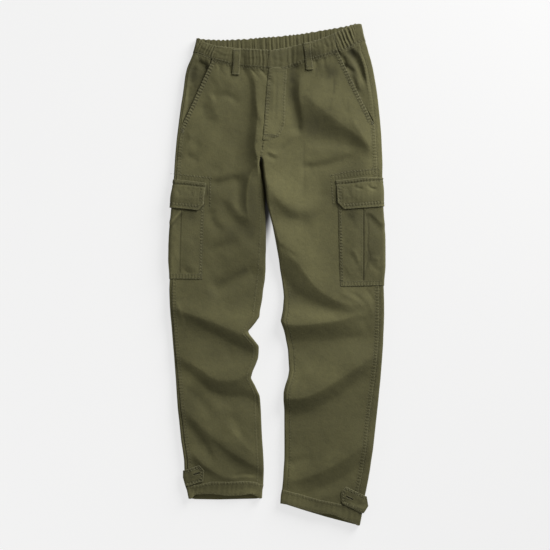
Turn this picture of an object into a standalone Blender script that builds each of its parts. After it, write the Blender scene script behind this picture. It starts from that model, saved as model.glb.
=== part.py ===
"""Cargo trousers in cotton twill, laid flat on a surface with the front up.

The waist points to +Y, the hems to -Y and the front of the trousers to +Z.
Names ending in _L lie on the -X side, names ending in _R on the +X side.

Every leg is a tube of cloth, cut as a front and a back. The back lies flat on
the surface, rolls round both long edges and meets the front a finger's width in
from them. The front is a low crown over the back with the large folds in it.
At the hips the two tubes open into one, closed by the centre seams, and the
hand pockets, fly, waistband, belt loops, cargo pockets, flaps, hem bands and
hem tabs are laid on or sewn to those panels.

The plan is drafted on a grid of small squares, SQ wide. Plan positions in the
tables are in squares from the middle of the garment; heights are in metres.
"""
import math

import bmesh
import bpy
import numpy as np

for old in list(bpy.data.objects):
    bpy.data.objects.remove(old, do_unlink=True)

# ---------------------------------------------------------------- sizes, metres
SQ = 0.0021            # one square of the drafting grid
PLAN_SHIFT_X = -0.35   # squares, puts the middle of the outline on the origin
PLAN_SHIFT_Y = 0.10
WALL = 0.0015          # twill with its turnings
BAND_WALL = 0.0025     # waistband: two cloths and the elastic
HEM_WALL = 0.0020      # hem band: cloth turned twice
GAP = 0.0003           # between pieces that are sewn together
ROLL = 0.0035          # outside radius of the folded long edges
CROWN = 0.0110         # rise of the front above the folded edges
CROWN_RUN = 0.0240     # how quickly the front rises from an edge
LAYER = WALL + GAP     # one more cloth on top of another
SEAM_RISE = 0.0005     # bands stand this much above the panel they are sewn to
POCKET_PUFF = 0.0042   # how far the bellows of a cargo pocket stand off
CLEAR = 0.0012         # least air between front and back
ARC = 4                # facets round a folded edge


def table(columns, *rows):
    """A short table; gives one array per named column."""
    names = columns.split()
    return {n: np.array([row[k] for row in rows], float)
            for k, n in enumerate(names)}


def read(tab, key, column, at):
    """Value of a column where the key column has the value at."""
    order = np.argsort(tab[key])
    return np.interp(at, tab[key][order], tab[column][order])


# ------------------------------------------------------- outline, in squares
# One row per cross section. outer and inner are the folded edges; above the
# crotch inner is the centre seam. side_in and leg_in are how far the outseam
# and the inseam lie in from those edges.
SECTIONS = {
    "L": table(
        "y      outer   inner  side_in leg_in",
        (236,   -80.5,  -6.0,  2.4,    0.0),
        (221,   -83.5,  -6.0,  2.4,    0.0),
        (206,   -89.0,  -6.5,  2.4,    0.0),
        (189,   -92.0,  -8.5,  2.4,    0.0),
        (169,   -95.0, -10.0,  2.4,    0.0),
        (154,   -97.0, -11.0,  2.4,    0.0),
        (134,   -99.5, -12.5,  2.4,    0.0),
        (117,  -101.0, -15.0,  3.0,    2.4),
        (109,  -101.5, -15.5,  3.0,    2.4),
        (99,   -102.0, -14.5,  3.0,    2.6),
        (84,   -103.0, -12.0,  3.0,    3.2),
        (69,   -104.0, -11.0,  3.0,    4.0),
        (44,   -105.0, -10.0,  3.0,    5.0),
        (24,   -105.5, -10.0,  3.0,    5.5),
        (4,    -106.0, -11.0,  3.0,    6.0),
        (-16,  -107.0, -14.0,  3.0,    5.5),
        (-31,  -106.5, -16.0,  2.8,    5.5),
        (-42,  -105.5, -17.5,  2.6,    5.5),
        (-51,  -104.5, -24.0,  2.6,    5.0),
        (-58,  -104.0, -29.0,  2.6,    4.0),
        (-66,  -103.3, -23.0,  2.6,    4.0),
        (-73,  -102.7, -18.0,  2.6,    4.0),
        (-82,  -102.0, -18.0,  2.6,    4.0),
        (-96,  -101.0, -24.0,  2.8,    4.0),
        (-104, -100.3, -25.0,  3.0,    4.0),
        (-111, -99.6,  -23.0,  3.0,    4.0),
        (-121, -99.0,  -17.0,  3.0,    4.0),
        (-156, -96.0,  -15.0,  3.2,    4.5),
        (-186, -92.0,  -13.3,  3.4,    4.5),
        (-211, -91.0,  -13.5,  3.4,    4.5),
        (-216, -88.5,  -14.5,  3.4,    4.5),
        (-226, -87.0,  -15.0,  3.4,    4.5)),
    "R": table(
        "y      outer   inner  side_in leg_in",
        (249,    85.5,  -6.0,  5.0,    0.0),
        (234,    88.0,  -6.0,  5.5,    0.0),
        (222,    91.0,  -6.0,  6.0,    0.0),
        (206,    96.0,  -6.5,  5.0,    0.0),
        (194,    98.0,  -8.0,  5.0,    0.0),
        (174,   101.0,  -9.6,  4.6,    0.0),
        (154,   103.0, -11.0,  4.4,    0.0),
        (134,   104.0, -12.5,  4.4,    0.0),
        (117,   104.6, -15.0,  4.4,    2.4),
        (109,   104.8, -13.0,  4.4,    2.4),
        (99,    105.2, -12.0,  4.2,    2.6),
        (69,    106.3,  -8.0,  4.0,    4.0),
        (39,    106.9,  -1.0,  4.0,    5.0),
        (24,    107.0,   1.0,  4.0,    5.0),
        (-6,    107.0,   6.0,  4.0,    5.0),
        (-26,   107.0,   8.0,  4.0,    5.0),
        (-41,   107.0,   6.0,  4.0,    5.0),
        (-46,   106.9,   5.0,  3.8,    5.0),
        (-56,   106.3,   8.0,  3.6,    5.0),
        (-71,   105.2,  11.0,  3.4,    5.0),
        (-96,   103.0,  13.0,  3.5,    5.0),
        (-106,  102.2,  11.0,  4.2,    5.0),
        (-121,  101.0,   7.0,  5.3,    5.0),
        (-150,   98.6,   8.0,  6.2,    4.5),
        (-166,   97.0,   8.0,  6.5,    4.5),
        (-186,   94.0,   8.0,  6.3,    4.5),
        (-206,   91.0,   6.6,  6.5,    4.5),
        (-226,   87.0,   5.0,  6.5,    4.5),
        (-252,   82.0,   4.0,  6.5,    4.5)),
}
OUTWARD = {"L": -1.0, "R": 1.0}
CROTCH = (-15.0, 117.0)

# Edges of the waistband and the seam under it, squares.
FRONT_TOP = table("x y", (-81, 236), (-72, 231.5), (-60, 228), (-46, 226.5),
                  (-31, 225), (-14, 224.4), (-4, 223.7), (8, 225.8),
                  (25, 230), (37, 232.5), (48, 236.3), (62, 242),
                  (74, 246.5), (86, 249))
FRONT_SEAM = table("x y", (-84, 221), (-75, 219.5), (-65, 215), (-46, 210),
                   (-31, 207), (-8, 205.5), (8, 204.5), (19, 209.5),
                   (41, 216), (52, 219.5), (60, 223), (69, 224.5),
                   (75, 227), (82, 231.5), (89, 234))
BACK_TOP = table("x y", (-81, 236), (-74, 235), (-54, 234), (-30, 235),
                 (0, 237), (24, 240), (48, 244), (66, 247.5),
                 (78, 250.8), (86, 249))
BACK_SEAM = table("x y", (-84, 221), (-70, 217), (-46, 215), (0, 217.5),
                  (46, 224.5), (70, 230), (89, 234))

# Slanted edges of the hand pockets, from the waist seam down to the outseam.
HAND_POCKET = {
    "L": dict(top=(-64.0, 214.5), foot=(-94.6, 147.0), foot_row=0.70),
    "R": dict(top=(61.5, 223.0), foot=(95.0, 155.0), foot_row=0.67),
}
POCKET_UNDER = 5.0     # squares of facing that run on under the front
POCKET_SINK = 0.0008   # the facing lies this much below the front's inside

# Rows of the panels. Hip rows are fractions of the way from the waist seam to
# the crotch; leg rows give the height at the outer and at the inner edge.
HIP_ROWS = {"L": (0, .12, .24, .36, .48, .60, .70, .735, .87),
            "R": (0, .11, .22, .33, .44, .55, .67, .705, .765, .88)}
LEG_ROWS = {
    "L": table("outer inner", (117, 117), (107, 107), (94, 94), (86, 86),
               (76, 76), (65, 65), (48, 48), (30, 30), (12, 12), (-6, -6),
               (-18, -18), (-30, -30), (-42, -42), (-50, -50), (-58, -58),
               (-65, -65), (-73, -73), (-82, -82), (-93, -93),
               (-104, -104), (-112, -112), (-121, -121), (-134, -134),
               (-148, -148), (-162, -162), (-176, -176), (-189, -189),
               (-200, -200), (-208, -208)),
    "R": table("outer inner", (117, 117), (107, 107), (97, 93), (89, 86),
               (78, 75), (67, 64), (48, 46), (28, 28), (8, 8), (-12, -12),
               (-24, -24), (-35, -35), (-46, -46), (-56, -56), (-66, -66),
               (-78, -78), (-90, -90), (-101, -101), (-111, -111),
               (-122, -121), (-137, -134), (-152, -147), (-168, -161),
               (-185, -175), (-202, -190), (-219, -204), (-234, -216)),
}
# Columns of a front, as fractions of its width from outseam to inner seam. The
# fourth column carries the inner edge of the cargo pocket.
FRONT_COLS = {"L": (0, .12, .24, .36, .47, .58, .69, .80, .90, 1),
              "R": (0, .14, .28, .42, .52, .62, .72, .82, .91, 1)}
# Columns of the flat part of a back, from the outer to the inner edge.
BACK_COLS = (0, .36, .68, 1)
HIP_BACK_SHARE = .78   # share of a hip row taken by those columns

# Cargo pockets: first and last leg row of the pocket and of its flap.
CARGO = {"L": dict(flap=(2, 5), pocket=(3, 9)),
         "R": dict(flap=(2, 5), pocket=(3, 9))}
POCKET_COL = 3         # front column under the pocket's inner edge
POCKET_BACK_COL = 1    # back column under its hidden edge
FLAP_OVERHANG = 1.2    # squares that a flap is wider than its pocket
FLAP_CHAMFER = 5.0     # squares cut off the flap's lower corner

# Places where something lies under the back, which is held up that much.
# y_top and y_foot bound the level part, reach is how far in from the outer
# edge it goes, as a fraction of the flat back; fade is in squares.
LIFTS = {
    "L": table("y_top y_foot reach lift  fade",
               (96,   64,    .37,  2,    16),
               (96,   -7,    .37,  1,    16)),
    "R": table("y_top y_foot reach lift  fade",
               (99,   63,    .37,  2,    16),
               (99,   -13,   .37,  1,    16)),
}
WAIST_LIFT_RUN = 15.0  # squares under the waist seam that lie on belt loops
WAIST_LIFT_FADE = 20.0

# Large folds of the fronts: a curve through three plan points, the half width
# in squares and the rise in millimetres (a trough is negative).
FOLDS = table(
    "x0    y0    x1    y1    x2    y2    half  rise",
    (-33,  207,  -26,  172,  -27,  120,  5.0,  -5.0),   # beside the fly, L
    (-20,  198,  -16.5, 178, -18,  150,  4.5,   2.0),
    (14,   201,  21,   172,  26,   139,  5.0,  -4.5),   # beside the fly, R
    (27,   166,  60,   149,  88,   132,  6.5,  -4.5),   # hip pull, R
    (26,   150,  56,   141,  86,   131,  6.5,  -3.5),
    (56,   184,  74,   163,  88,   143,  6.0,   2.5),
    (31,   113,  60,   112,  90,   110,  5.0,  -2.5),
    (-62,  94,   -44,  98,   -27,  103,  5.5,  -2.2),   # thighs
    (-52,  70,   -42,  56,   -36,  44,   6.0,  -3.0),
    (-58,  -8,   -42,  0,    -27,  9,    6.5,  -2.5),
    (0,    74,   9,    65,   26,   57,   6.5,  -3.0),
    (-96,  -25,  -63,  -38,  -30,  -54,  6.0,   3.0),   # behind the knee, L
    (-88,  -42,  -46,  -58,  -22,  -76,  7.0,  -5.5),
    (-80,  -70,  -46,  -84,  -19,  -84,  7.0,   2.0),
    (-94,  -88,  -54,  -111, -18,  -118, 6.5,  -5.0),
    (-84,  -123, -72,  -132, -58,  -140, 5.0,  -2.0),
    (-88,  -142, -66,  -160, -45,  -176, 6.0,  -2.5),
    (-41,  -142, -34,  -156, -26,  -170, 5.5,  -2.0),
    (-72,  -174, -48,  -184, -23,  -190, 5.5,  -3.5),   # ankle, L
    (-86,  -175, -66,  -190, -46,  -200, 5.5,   2.0),
    (10,   -6,   42,   -24,  84,   -30,  6.5,  -5.0),   # behind the knee, R
    (9,    -42,  58,   -35,  86,   -25,  6.0,   2.5),
    (9,    -54,  56,   -51,  90,   -46,  6.5,  -5.5),
    (14,   -104, 48,   -96,  82,   -72,  7.5,   2.0),
    (10,   -131, 52,   -120, 92,   -85,  6.5,  -5.5),
    (24,   -190, 52,   -182, 80,   -165, 6.5,   2.0),
    (26,   -209, 56,   -199, 86,   -180, 6.0,  -3.5),   # ankle, R
)

# Fly placket on the right front: columns it covers and how its foot rounds.
FLY_COL = 7
FLY_ROWS = (0, 8)
FLY_ROUND = table("row x_in", (0, 0.0), (5, 0.0), (6, 0.3), (7, 1.2), (8, 6.0))

# Belt loops: x at the top and the foot, y of both ends, squares; face +1 is
# the front, -1 the underside.
LOOP_WIDTH = 7.3
LOOPS = {
    "belt_loop_front_L": dict(x=(-39.0, -40.2), y=(224.0, 199.5), face=1),
    "belt_loop_front_R": dict(x=(31.0, 34.0), y=(230.5, 205.0), face=1),
    "belt_loop_back_L": dict(x=(-52.0, -53.5), y=(232.0, 207.0), face=-1),
    "belt_loop_back_C": dict(x=(5.0, 3.5), y=(235.5, 210.5), face=-1),
    "belt_loop_back_R": dict(x=(60.0, 61.5), y=(244.0, 219.0), face=-1),
}

BACK_EASE = 0.8        # squares between the band and the backs, underneath

# Waistband: seams between the plain fronts and the elastic back, top and foot.
BAND_SEAM = {"L": (-61.5, -65.5), "R": (58.0, 60.5)}
BAND_CENTRE = (-6.5, -6.5)
BACK_BAND_COLS = (-66, -46, -24, 0, 24, 48, 66, 78)

# Hem bands: lower edge at the front (middle and ends) and at the back, as
# squares below the hem seam, at the outer and inner edge of the leg.
HEMS = {"L": dict(ends=(17.0, 17.0), front_dip=4.5, back_dip=0.0),
        "R": dict(ends=(17.0, 14.0), front_dip=2.0, back_dip=0.0)}
HEM_COLS = (0, .2, .4, .6, .8, 1)

# Hem tabs: strap across the hem seam near the outseam, squares. head is the
# pointed end on the front, from the outer edge; y runs down the leg.
TABS = {
    "L": dict(root_y=(-196.5, -211.5), tip_y=(-191.0, -207.5), reach=21.0,
              point=4.5),
    "R": dict(root_y=(-221.5, -234.0), tip_y=(-212.0, -228.5), reach=24.5,
              point=4.5),
}


# ------------------------------------------------------------- shape of cloth
def section(side, column, y):
    return float(read(SECTIONS[side], "y", column, y))


def smooth(t):
    t = min(1.0, max(0.0, t))
    return t * t * (3 - 2 * t)


def lift(side, x, y):
    """How far the back is held up at a plan point, in metres."""
    outer = section(side, "outer", y)
    inner = section(side, "inner", y)
    inward = abs(x - outer) / max(1.0, abs(inner - outer))
    best = 0.0
    zone = LIFTS[side]
    for k in range(len(zone["lift"])):
        beyond = max(y - zone["y_top"][k], zone["y_foot"][k] - y, 0.0)
        sideways = max(0.0, inward - zone["reach"][k]) * abs(inner - outer)
        away = math.hypot(beyond, sideways) / zone["fade"][k]
        best = max(best, zone["lift"][k] * LAYER * (1 - smooth(away)))
    under = float(read(BACK_SEAM, "x", "y", x)) - WAIST_LIFT_RUN - y
    best = max(best, LAYER * (1 - smooth(under / WAIST_LIFT_FADE)))
    hem = smooth((-190.0 - y) / 14.0)
    return max(best, SEAM_RISE * hem)


def fold_rise(x, y):
    """Sum of the large folds at a plan point, in metres."""
    total = 0.0
    steps = np.linspace(0, 1, 13)
    for k in range(len(FOLDS["rise"])):
        f = {n: FOLDS[n][k] for n in FOLDS}
        if abs(y - f["y1"]) > 90 or abs(x - f["x1"]) > 80:
            continue
        cx = 2 * f["x1"] - (f["x0"] + f["x2"]) / 2
        cy = 2 * f["y1"] - (f["y0"] + f["y2"]) / 2
        px = (1 - steps) ** 2 * f["x0"] + 2 * steps * (1 - steps) * cx \
            + steps ** 2 * f["x2"]
        py = (1 - steps) ** 2 * f["y0"] + 2 * steps * (1 - steps) * cy \
            + steps ** 2 * f["y2"]
        away = np.hypot(px - x, py - y)
        near = int(np.argmin(away))
        ends = math.sin(math.pi * (0.12 + 0.76 * steps[near])) ** 0.7
        total += f["rise"] * 0.001 * ends \
            * math.exp(-(away[near] / f["half"]) ** 2)
    return total


def top_height(side, x, y):
    """Outside of the front above the surface, metres; x and y in squares."""
    out = abs(x - section(side, "outer", y)) * SQ
    if y < CROTCH[1]:
        into = abs(section(side, "inner", y) - x) * SQ
    else:
        into = math.hypot(x - CROTCH[0], y - CROTCH[1]) * SQ
    rise = (1 - math.exp(-max(0.0, out - ROLL) / CROWN_RUN)) \
        * (1 - math.exp(-max(0.0, into - ROLL) / CROWN_RUN))
    edge = section(side, "outer", y) * 0.99
    held = lift(side, edge, y) * math.exp(-out / 0.060)
    fade = smooth(min(out, into) / 0.016)
    z = 2 * ROLL + held + CROWN * rise + fade * fold_rise(x, y)
    least = lift(side, x, y) + 2 * WALL + LAYER + CLEAR
    return max(z, min(2 * ROLL + held, least) if fade < 1 else least)


def plan(x, y):
    """Squares of the drafting grid to metres."""
    return (x + PLAN_SHIFT_X) * SQ, (y + PLAN_SHIFT_Y) * SQ


def at(x, y, z, out):
    """One point of a piece: its place and the way out of the cloth."""
    px, py = plan(x, y)
    return (px, py, z), out


UP, DOWN = (0.0, 0.0, 1.0), (0.0, 0.0, -1.0)


def on_top(side, x, y, move=0.0):
    return at(x, y, top_height(side, x, y) + move, UP)


def on_back(side, x, y, move=0.0):
    return at(x, y, lift(side, x, y) - move, DOWN)


def on_edge(side, which, y, angle):
    """A point on a folded edge; angle 90 is its top, 0 its side, -90 under."""
    edge = section(side, which, y)
    face = OUTWARD[side] if which == "outer" else -OUTWARD[side]
    a = math.radians(angle)
    x = edge - face * ROLL / SQ * (1 - math.cos(a))
    held = lift(side, edge - face * 0.02, y) if which == "outer" else \
        lift(side, edge, y)
    if which == "inner" and abs(y - CROTCH[1]) < 0.5:
        x -= face * (GAP / 2) / SQ
    z = held + ROLL + ROLL * math.sin(a)
    return at(x, y, z, (face * math.cos(a), 0.0, math.sin(a)))


# ---------------------------------------------------------------- panel rows
def hip_y(seam, x, part):
    return float(read(seam, "x", "y", x)) * (1 - part) + CROTCH[1] * part


def meet(seam, part, line):
    """Plan point where a hip row crosses a line, given as x for a height."""
    y = 150.0
    for _ in range(40):
        y = hip_y(seam, line(y), part)
    return line(y), y


def pocket_line(side):
    top, foot = HAND_POCKET[side]["top"], HAND_POCKET[side]["foot"]

    def line(y):
        t = (top[1] - y) / (top[1] - foot[1])
        return top[0] + t * (foot[0] - top[0])
    return line


def centre_line(side):
    shift = OUTWARD[side] * (GAP / 2) / SQ

    def line(y):
        return section(side, "inner", max(y, CROTCH[1] + 0.01)) + shift
    return line


def side_line(side, part_of_gap):
    """The outseam; part_of_gap 1 is the front's edge, -1 the back's."""
    def line(y):
        step = section(side, "side_in", y) + part_of_gap * GAP / 2 / SQ
        return section(side, "outer", y) - OUTWARD[side] * step
    return line


def leg_y(side, a, b, x):
    """Height of a leg row at x; a and b are its heights at the two edges."""
    roll = OUTWARD[side] * ROLL / SQ
    outer = section(side, "outer", a) - roll
    inner = section(side, "inner", b) + roll
    return a + (b - a) * (x - outer) / (inner - outer)


def front_row(side, kind, a, b=None):
    """Plan points of one row of a front, from the outer to the inner seam."""
    cols = FRONT_COLS[side]
    if kind == "hip":
        pocket = a <= HAND_POCKET[side]["foot_row"] + 1e-6
        x0, _ = meet(FRONT_SEAM, a,
                     pocket_line(side) if pocket else side_line(side, 1))
        x1, _ = meet(FRONT_SEAM, a, centre_line(side))
        xs = [x0 + (x1 - x0) * s for s in cols]
        return [(x, hip_y(FRONT_SEAM, x, a)) for x in xs]
    x0 = side_line(side, 1)(a)
    step = section(side, "leg_in", b) + GAP / 2 / SQ
    x1 = section(side, "inner", b) + OUTWARD[side] * step
    xs = [x0 + (x1 - x0) * s for s in cols]
    return [(x, leg_y(side, a, b, x)) for x in xs]


def front_grid(side):
    rows = []
    for part in HIP_ROWS[side]:
        rows.append([on_top(side, x, y)
                     for x, y in front_row(side, "hip", part)])
    leg = LEG_ROWS[side]
    for k in range(len(leg["outer"])):
        a, b = leg["outer"][k], leg["inner"][k]
        row = [on_top(side, x, y) for x, y in front_row(side, "leg", a, b)]
        if k == 0:      # all four seams meet at the crotch, on the folded edge
            (px, py, pz), out = on_edge(side, "inner", b, 0)
            row[-1] = ((px, py, pz + GAP / 2), out)
        rows.append(row)
    return rows


def back_row(side, kind, a, b=None):
    """One row of a back, from the outseam under the leg to the inner seam."""
    sg = OUTWARD[side]
    if kind == "hip":
        x_side, y_side = meet(FRONT_SEAM, a, side_line(side, -1))
    else:
        x_side, y_side = side_line(side, -1)(a), a
    y_top = y_side if kind == "hip" else leg_y(side, a, b, x_side)
    row = [on_top(side, x_side, y_top)]
    for k in range(ARC + 1):
        row.append(on_edge(side, "outer", y_side, 90 - 180 * k / ARC))
    x_out = section(side, "outer", y_side) - sg * ROLL / SQ
    if kind == "hip":
        x_mid, _ = meet(BACK_SEAM, a, centre_line(side))
        whole = x_mid - x_out
        for s in BACK_COLS[1:]:
            x = x_out + whole * s * HIP_BACK_SHARE
            row.append(on_back(side, x, hip_y(BACK_SEAM, x, a)))
        for k in range(1, ARC + 2):
            x = x_out + whole * (HIP_BACK_SHARE
                                 + (1 - HIP_BACK_SHARE) * k / (ARC + 1))
            row.append(on_back(side, x, hip_y(BACK_SEAM, x, a)))
        return row
    x_in = section(side, "inner", b) + sg * ROLL / SQ
    for s in BACK_COLS[1:-1]:
        x = x_out + (x_in - x_out) * s
        row.append(on_back(side, x, leg_y(side, a, b, x)))
    if abs(b - CROTCH[1]) < 0.5:
        for k in range(ARC + 2):
            row.append(on_edge(side, "inner", b, -90 + 90 * k / (ARC + 1)))
        (px, py, pz), out = row[-1]
        row[-1] = ((px, py, pz - GAP / 2), out)
        return row
    for k in range(ARC + 1):
        row.append(on_edge(side, "inner", b, -90 + 180 * k / ARC))
    step = section(side, "leg_in", b) - GAP / 2 / SQ
    x = section(side, "inner", b) + sg * step
    row.append(on_top(side, x, leg_y(side, a, b, x)))
    return row


def back_grid(side):
    rows = [back_row(side, "hip", part) for part in HIP_ROWS[side]]
    leg = LEG_ROWS[side]
    for k in range(len(leg["outer"])):
        rows.append(back_row(side, "leg", leg["outer"][k], leg["inner"][k]))
    return rows


# ------------------------------------------------------------------- meshes
MATERIALS = {}


def cloth(name, colour, roughness):
    mat = bpy.data.materials.new(name)
    mat.use_nodes = True
    shader = mat.node_tree.nodes["Principled BSDF"]
    shader.inputs["Base Color"].default_value = (*colour, 1.0)
    shader.inputs["Roughness"].default_value = roughness
    shader.inputs["Metallic"].default_value = 0.0
    MATERIALS[name] = mat
    return mat


cloth("twill", (0.092, 0.087, 0.043), 0.92)
cloth("twill_band", (0.086, 0.081, 0.040), 0.92)
cloth("twill_trim", (0.098, 0.093, 0.047), 0.92)


def moved(point, way):
    """A point of a piece moved out by way metres."""
    p, out = point
    return tuple(p[k] + out[k] * way for k in range(3)), out


def shell(name, rows, wall, material, ring=False):
    """A closed wall of cloth whose outside is the grid of points in rows."""
    n, m = len(rows), len(rows[0])
    bm = bmesh.new()
    outside = [[bm.verts.new(p) for p, _ in row] for row in rows]
    inside = [[bm.verts.new(moved(q, -wall)[0]) for q in row] for row in rows]
    last = m if ring else m - 1

    def quad(a, b, c, d):
        bm.faces.new((a, b, c))
        bm.faces.new((a, c, d))

    for i in range(n - 1):
        for j in range(last):
            k = (j + 1) % m
            for skin in (outside, inside):
                quad(skin[i][j], skin[i + 1][j], skin[i + 1][k], skin[i][k])
    for i in (0, n - 1):
        for j in range(last):
            k = (j + 1) % m
            quad(outside[i][j], inside[i][j], inside[i][k], outside[i][k])
    if not ring:
        for j in (0, m - 1):
            for i in range(n - 1):
                quad(outside[i][j], inside[i][j],
                     inside[i + 1][j], outside[i + 1][j])
    bmesh.ops.recalc_face_normals(bm, faces=bm.faces)
    mesh = bpy.data.meshes.new(name)
    bm.to_mesh(mesh)
    bm.free()
    mesh.materials.append(MATERIALS[material])
    ob = bpy.data.objects.new(name, mesh)
    bpy.context.scene.collection.objects.link(ob)
    mesh.shade_smooth()
    mesh.set_sharp_from_angle(angle=math.radians(50))
    return ob


GRIDS = {}
for SIDE in ("L", "R"):
    GRIDS["front", SIDE] = front_grid(SIDE)
    GRIDS["back", SIDE] = back_grid(SIDE)
    shell("front_panel_" + SIDE, GRIDS["front", SIDE], WALL, "twill")
    shell("back_panel_" + SIDE, GRIDS["back", SIDE], WALL, "twill")


# --------------------------------------------------- hand pocket facings
def pocket_facing(side):
    """The cloth seen in the hand pocket, one layer below the front."""
    line, sg = pocket_line(side), OUTWARD[side]
    foot = HAND_POCKET[side]["foot_row"]
    rows = []
    for part in [p for p in HIP_ROWS[side] if p <= foot + 0.001]:
        x0, _ = meet(FRONT_SEAM, part, side_line(side, 3))
        x1, y1 = meet(FRONT_SEAM, min(part, foot), line)
        x1 -= sg * (POCKET_UNDER - 2.0 * part)
        tuck = 0.6 if part == 0 else 0.0
        row = []
        for s in (0, .34, .67, 1):
            x = x0 + (x1 - x0) * s
            row.append(on_top(side, x, hip_y(FRONT_SEAM, x, part) - tuck,
                              -LAYER - POCKET_SINK))
        rows.append(row)
    shell("pocket_facing_" + side, rows, WALL, "twill_trim")


# --------------------------------------------------------- cargo pockets
def wrapped(side, first, last):
    """Rows of points round the outer edge, from front to underside."""
    skip = len(HIP_ROWS[side])
    rows = []
    for k in range(first, last + 1):
        front = GRIDS["front", side][skip + k][:POCKET_COL + 1]
        back = GRIDS["back", side][skip + k]
        under = back[1:ARC + 2 + POCKET_BACK_COL]
        rows.append(front[::-1] + under)
    return rows


def puff(side, row, col, last_row, cols):
    """How far a pocket stands off the leg at a grid point, beyond a layer."""
    front = POCKET_COL + 1
    across = {0: 0.0, 1: 0.9, 2: 1.0, 3: 0.55}.get(col, 0.0)
    if col >= front:
        across = 0.25 if col == front else 0.0
    down = math.sin(math.pi * min(1.0, (row + 0.8) / (last_row + 0.8))) ** 0.6
    return POCKET_PUFF * across * (down if row < last_row else 0.0)


def cargo_pocket(side):
    first, last = CARGO[side]["pocket"]
    base = wrapped(side, first, last)
    rows = []
    for i, row in enumerate(base):
        rows.append([moved(p, LAYER + puff(side, i, j, last - first,
                                           len(row)))
                     for j, p in enumerate(row)])
    shell("cargo_pocket_" + side, rows, WALL, "twill_trim")


def cargo_flap(side):
    first, last = CARGO[side]["flap"]
    start = CARGO[side]["pocket"][0]
    pocket_last = CARGO[side]["pocket"][1] - start
    base = wrapped(side, first, last)
    sg = OUTWARD[side]
    rows = []
    for i, row in enumerate(base):
        new = []
        for j, p in enumerate(row):
            k = first + i - start
            over = puff(side, max(k, 0), j, pocket_last, len(row))
            way = 2 * LAYER + over + (0.0003 if j < len(row) - 1 else 0.0)
            q, out = moved(p, min(way, 2 * LAYER) if j > POCKET_COL + 1
                           else way)
            if j == 0 and i == len(base) - 1:
                q = (q[0], q[1], q[2] + 0.0026)
            if j == 0:
                cut = -FLAP_OVERHANG + (FLAP_CHAMFER if i == len(base) - 1
                                        else 0.0)
                q = (q[0] + sg * cut * SQ, q[1], q[2])
            new.append((q, out))
        rows.append(new)
    shell("cargo_flap_" + side, rows, WALL, "twill_trim")


# ------------------------------------------------------------------- fly
def fly_placket():
    rows = []
    for i in range(FLY_ROWS[0], FLY_ROWS[1] + 1):
        row = [moved(p, LAYER) for p in GRIDS["front", "R"][i][FLY_COL:]]
        cut = float(read(FLY_ROUND, "row", "x_in", i))
        (x, y, z), out = row[0]
        row[0] = ((x - cut * SQ, y, z), out)
        (x, y, z), out = row[1]
        row[1] = ((x - cut * 0.4 * SQ, y, z), out)
        if i == 0:
            row = [((p[0], p[1] - GAP, p[2]), out) for p, out in row]
        rows.append(row)
    shell("fly_placket", rows, WALL, "twill_trim")


# ------------------------------------------------------------- waistband
def band_height(x, y):
    side = "L" if x < BAND_CENTRE[0] else "R"
    return top_height(side, x, y) + SEAM_RISE


def band_point(x, up, face):
    """A point of the band: up is 0 at its foot and 1 at its top edge."""
    seam, top = (FRONT_SEAM, FRONT_TOP) if face > 0 else (BACK_SEAM, BACK_TOP)
    foot_y = float(read(seam, "x", "y", x)) + GAP / SQ
    foot_y += BACK_EASE if face < 0 else 0.35 * smooth((abs(x) - 62) / 8)
    y = foot_y + up * (float(read(top, "x", "y", x)) - foot_y)
    if face > 0:
        return at(x, y, band_height(x, y), UP)
    return at(x, y, LAYER, DOWN)


def band_edge(side, up, angle):
    """A point on the folded end of the band."""
    foot = 221.0 if side == "L" else 234.0
    head = 236.0 if side == "L" else 249.0
    y = foot + GAP / SQ + up * (head - foot)
    (px, py, pz), out = on_edge(side, "outer", y, angle)
    return moved(((px, py, pz), out), SEAM_RISE)


BAND_UPS = (1.0, 0.0)


def band_front(name, side, left, right):
    """A plain stretch of the front band; left and right are (top, foot) x.

    Its foot has the columns of the front that it is sewn to.
    """
    foot = sorted(x for x, _ in front_row(side, "hip", 0))
    foot = [x for x in foot if left[1] + 0.5 < x < right[1] - 0.5]
    foot = [left[1]] + foot + [right[1]]
    share = [(x - left[1]) / (right[1] - left[1]) for x in foot]
    rows = []
    for up in BAND_UPS:
        a = left[0] * up + left[1] * (1 - up)
        b = right[0] * up + right[1] * (1 - up)
        rows.append([band_point(a + (b - a) * s, up, 1) for s in share])
    shell(name, rows, BAND_WALL, "twill_band")


def band_back():
    """The elastic stretch, round both folded ends and under the mouth."""
    rows = []
    for up in BAND_UPS:
        row = []
        ends = {}
        for side in ("L", "R"):
            edge = section(side, "outer",
                           (221 if side == "L" else 234) + 15 * up)
            seam = BAND_SEAM[side][0] * up + BAND_SEAM[side][1] * (1 - up)
            seam += OUTWARD[side] * GAP / SQ
            ends[side] = (seam, edge - OUTWARD[side] * (ROLL / SQ + 0.6))
        a, b = ends["L"]
        row += [band_point(a + (b - a) * k / 2, up, 1) for k in range(3)]
        row += [band_edge("L", up, 60 - 120 * k / 2) for k in range(3)]
        c, d = ends["R"]
        row += [band_point(x, up, -1) for x in (b, *BACK_BAND_COLS, d)]
        row += [band_edge("R", up, -60 + 120 * k / 2) for k in range(3)]
        row += [band_point(d + (c - d) * k / 3, up, 1) for k in range(4)]
        rows.append(row)
    shell("waistband_back", rows, BAND_WALL, "twill_band")


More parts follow.
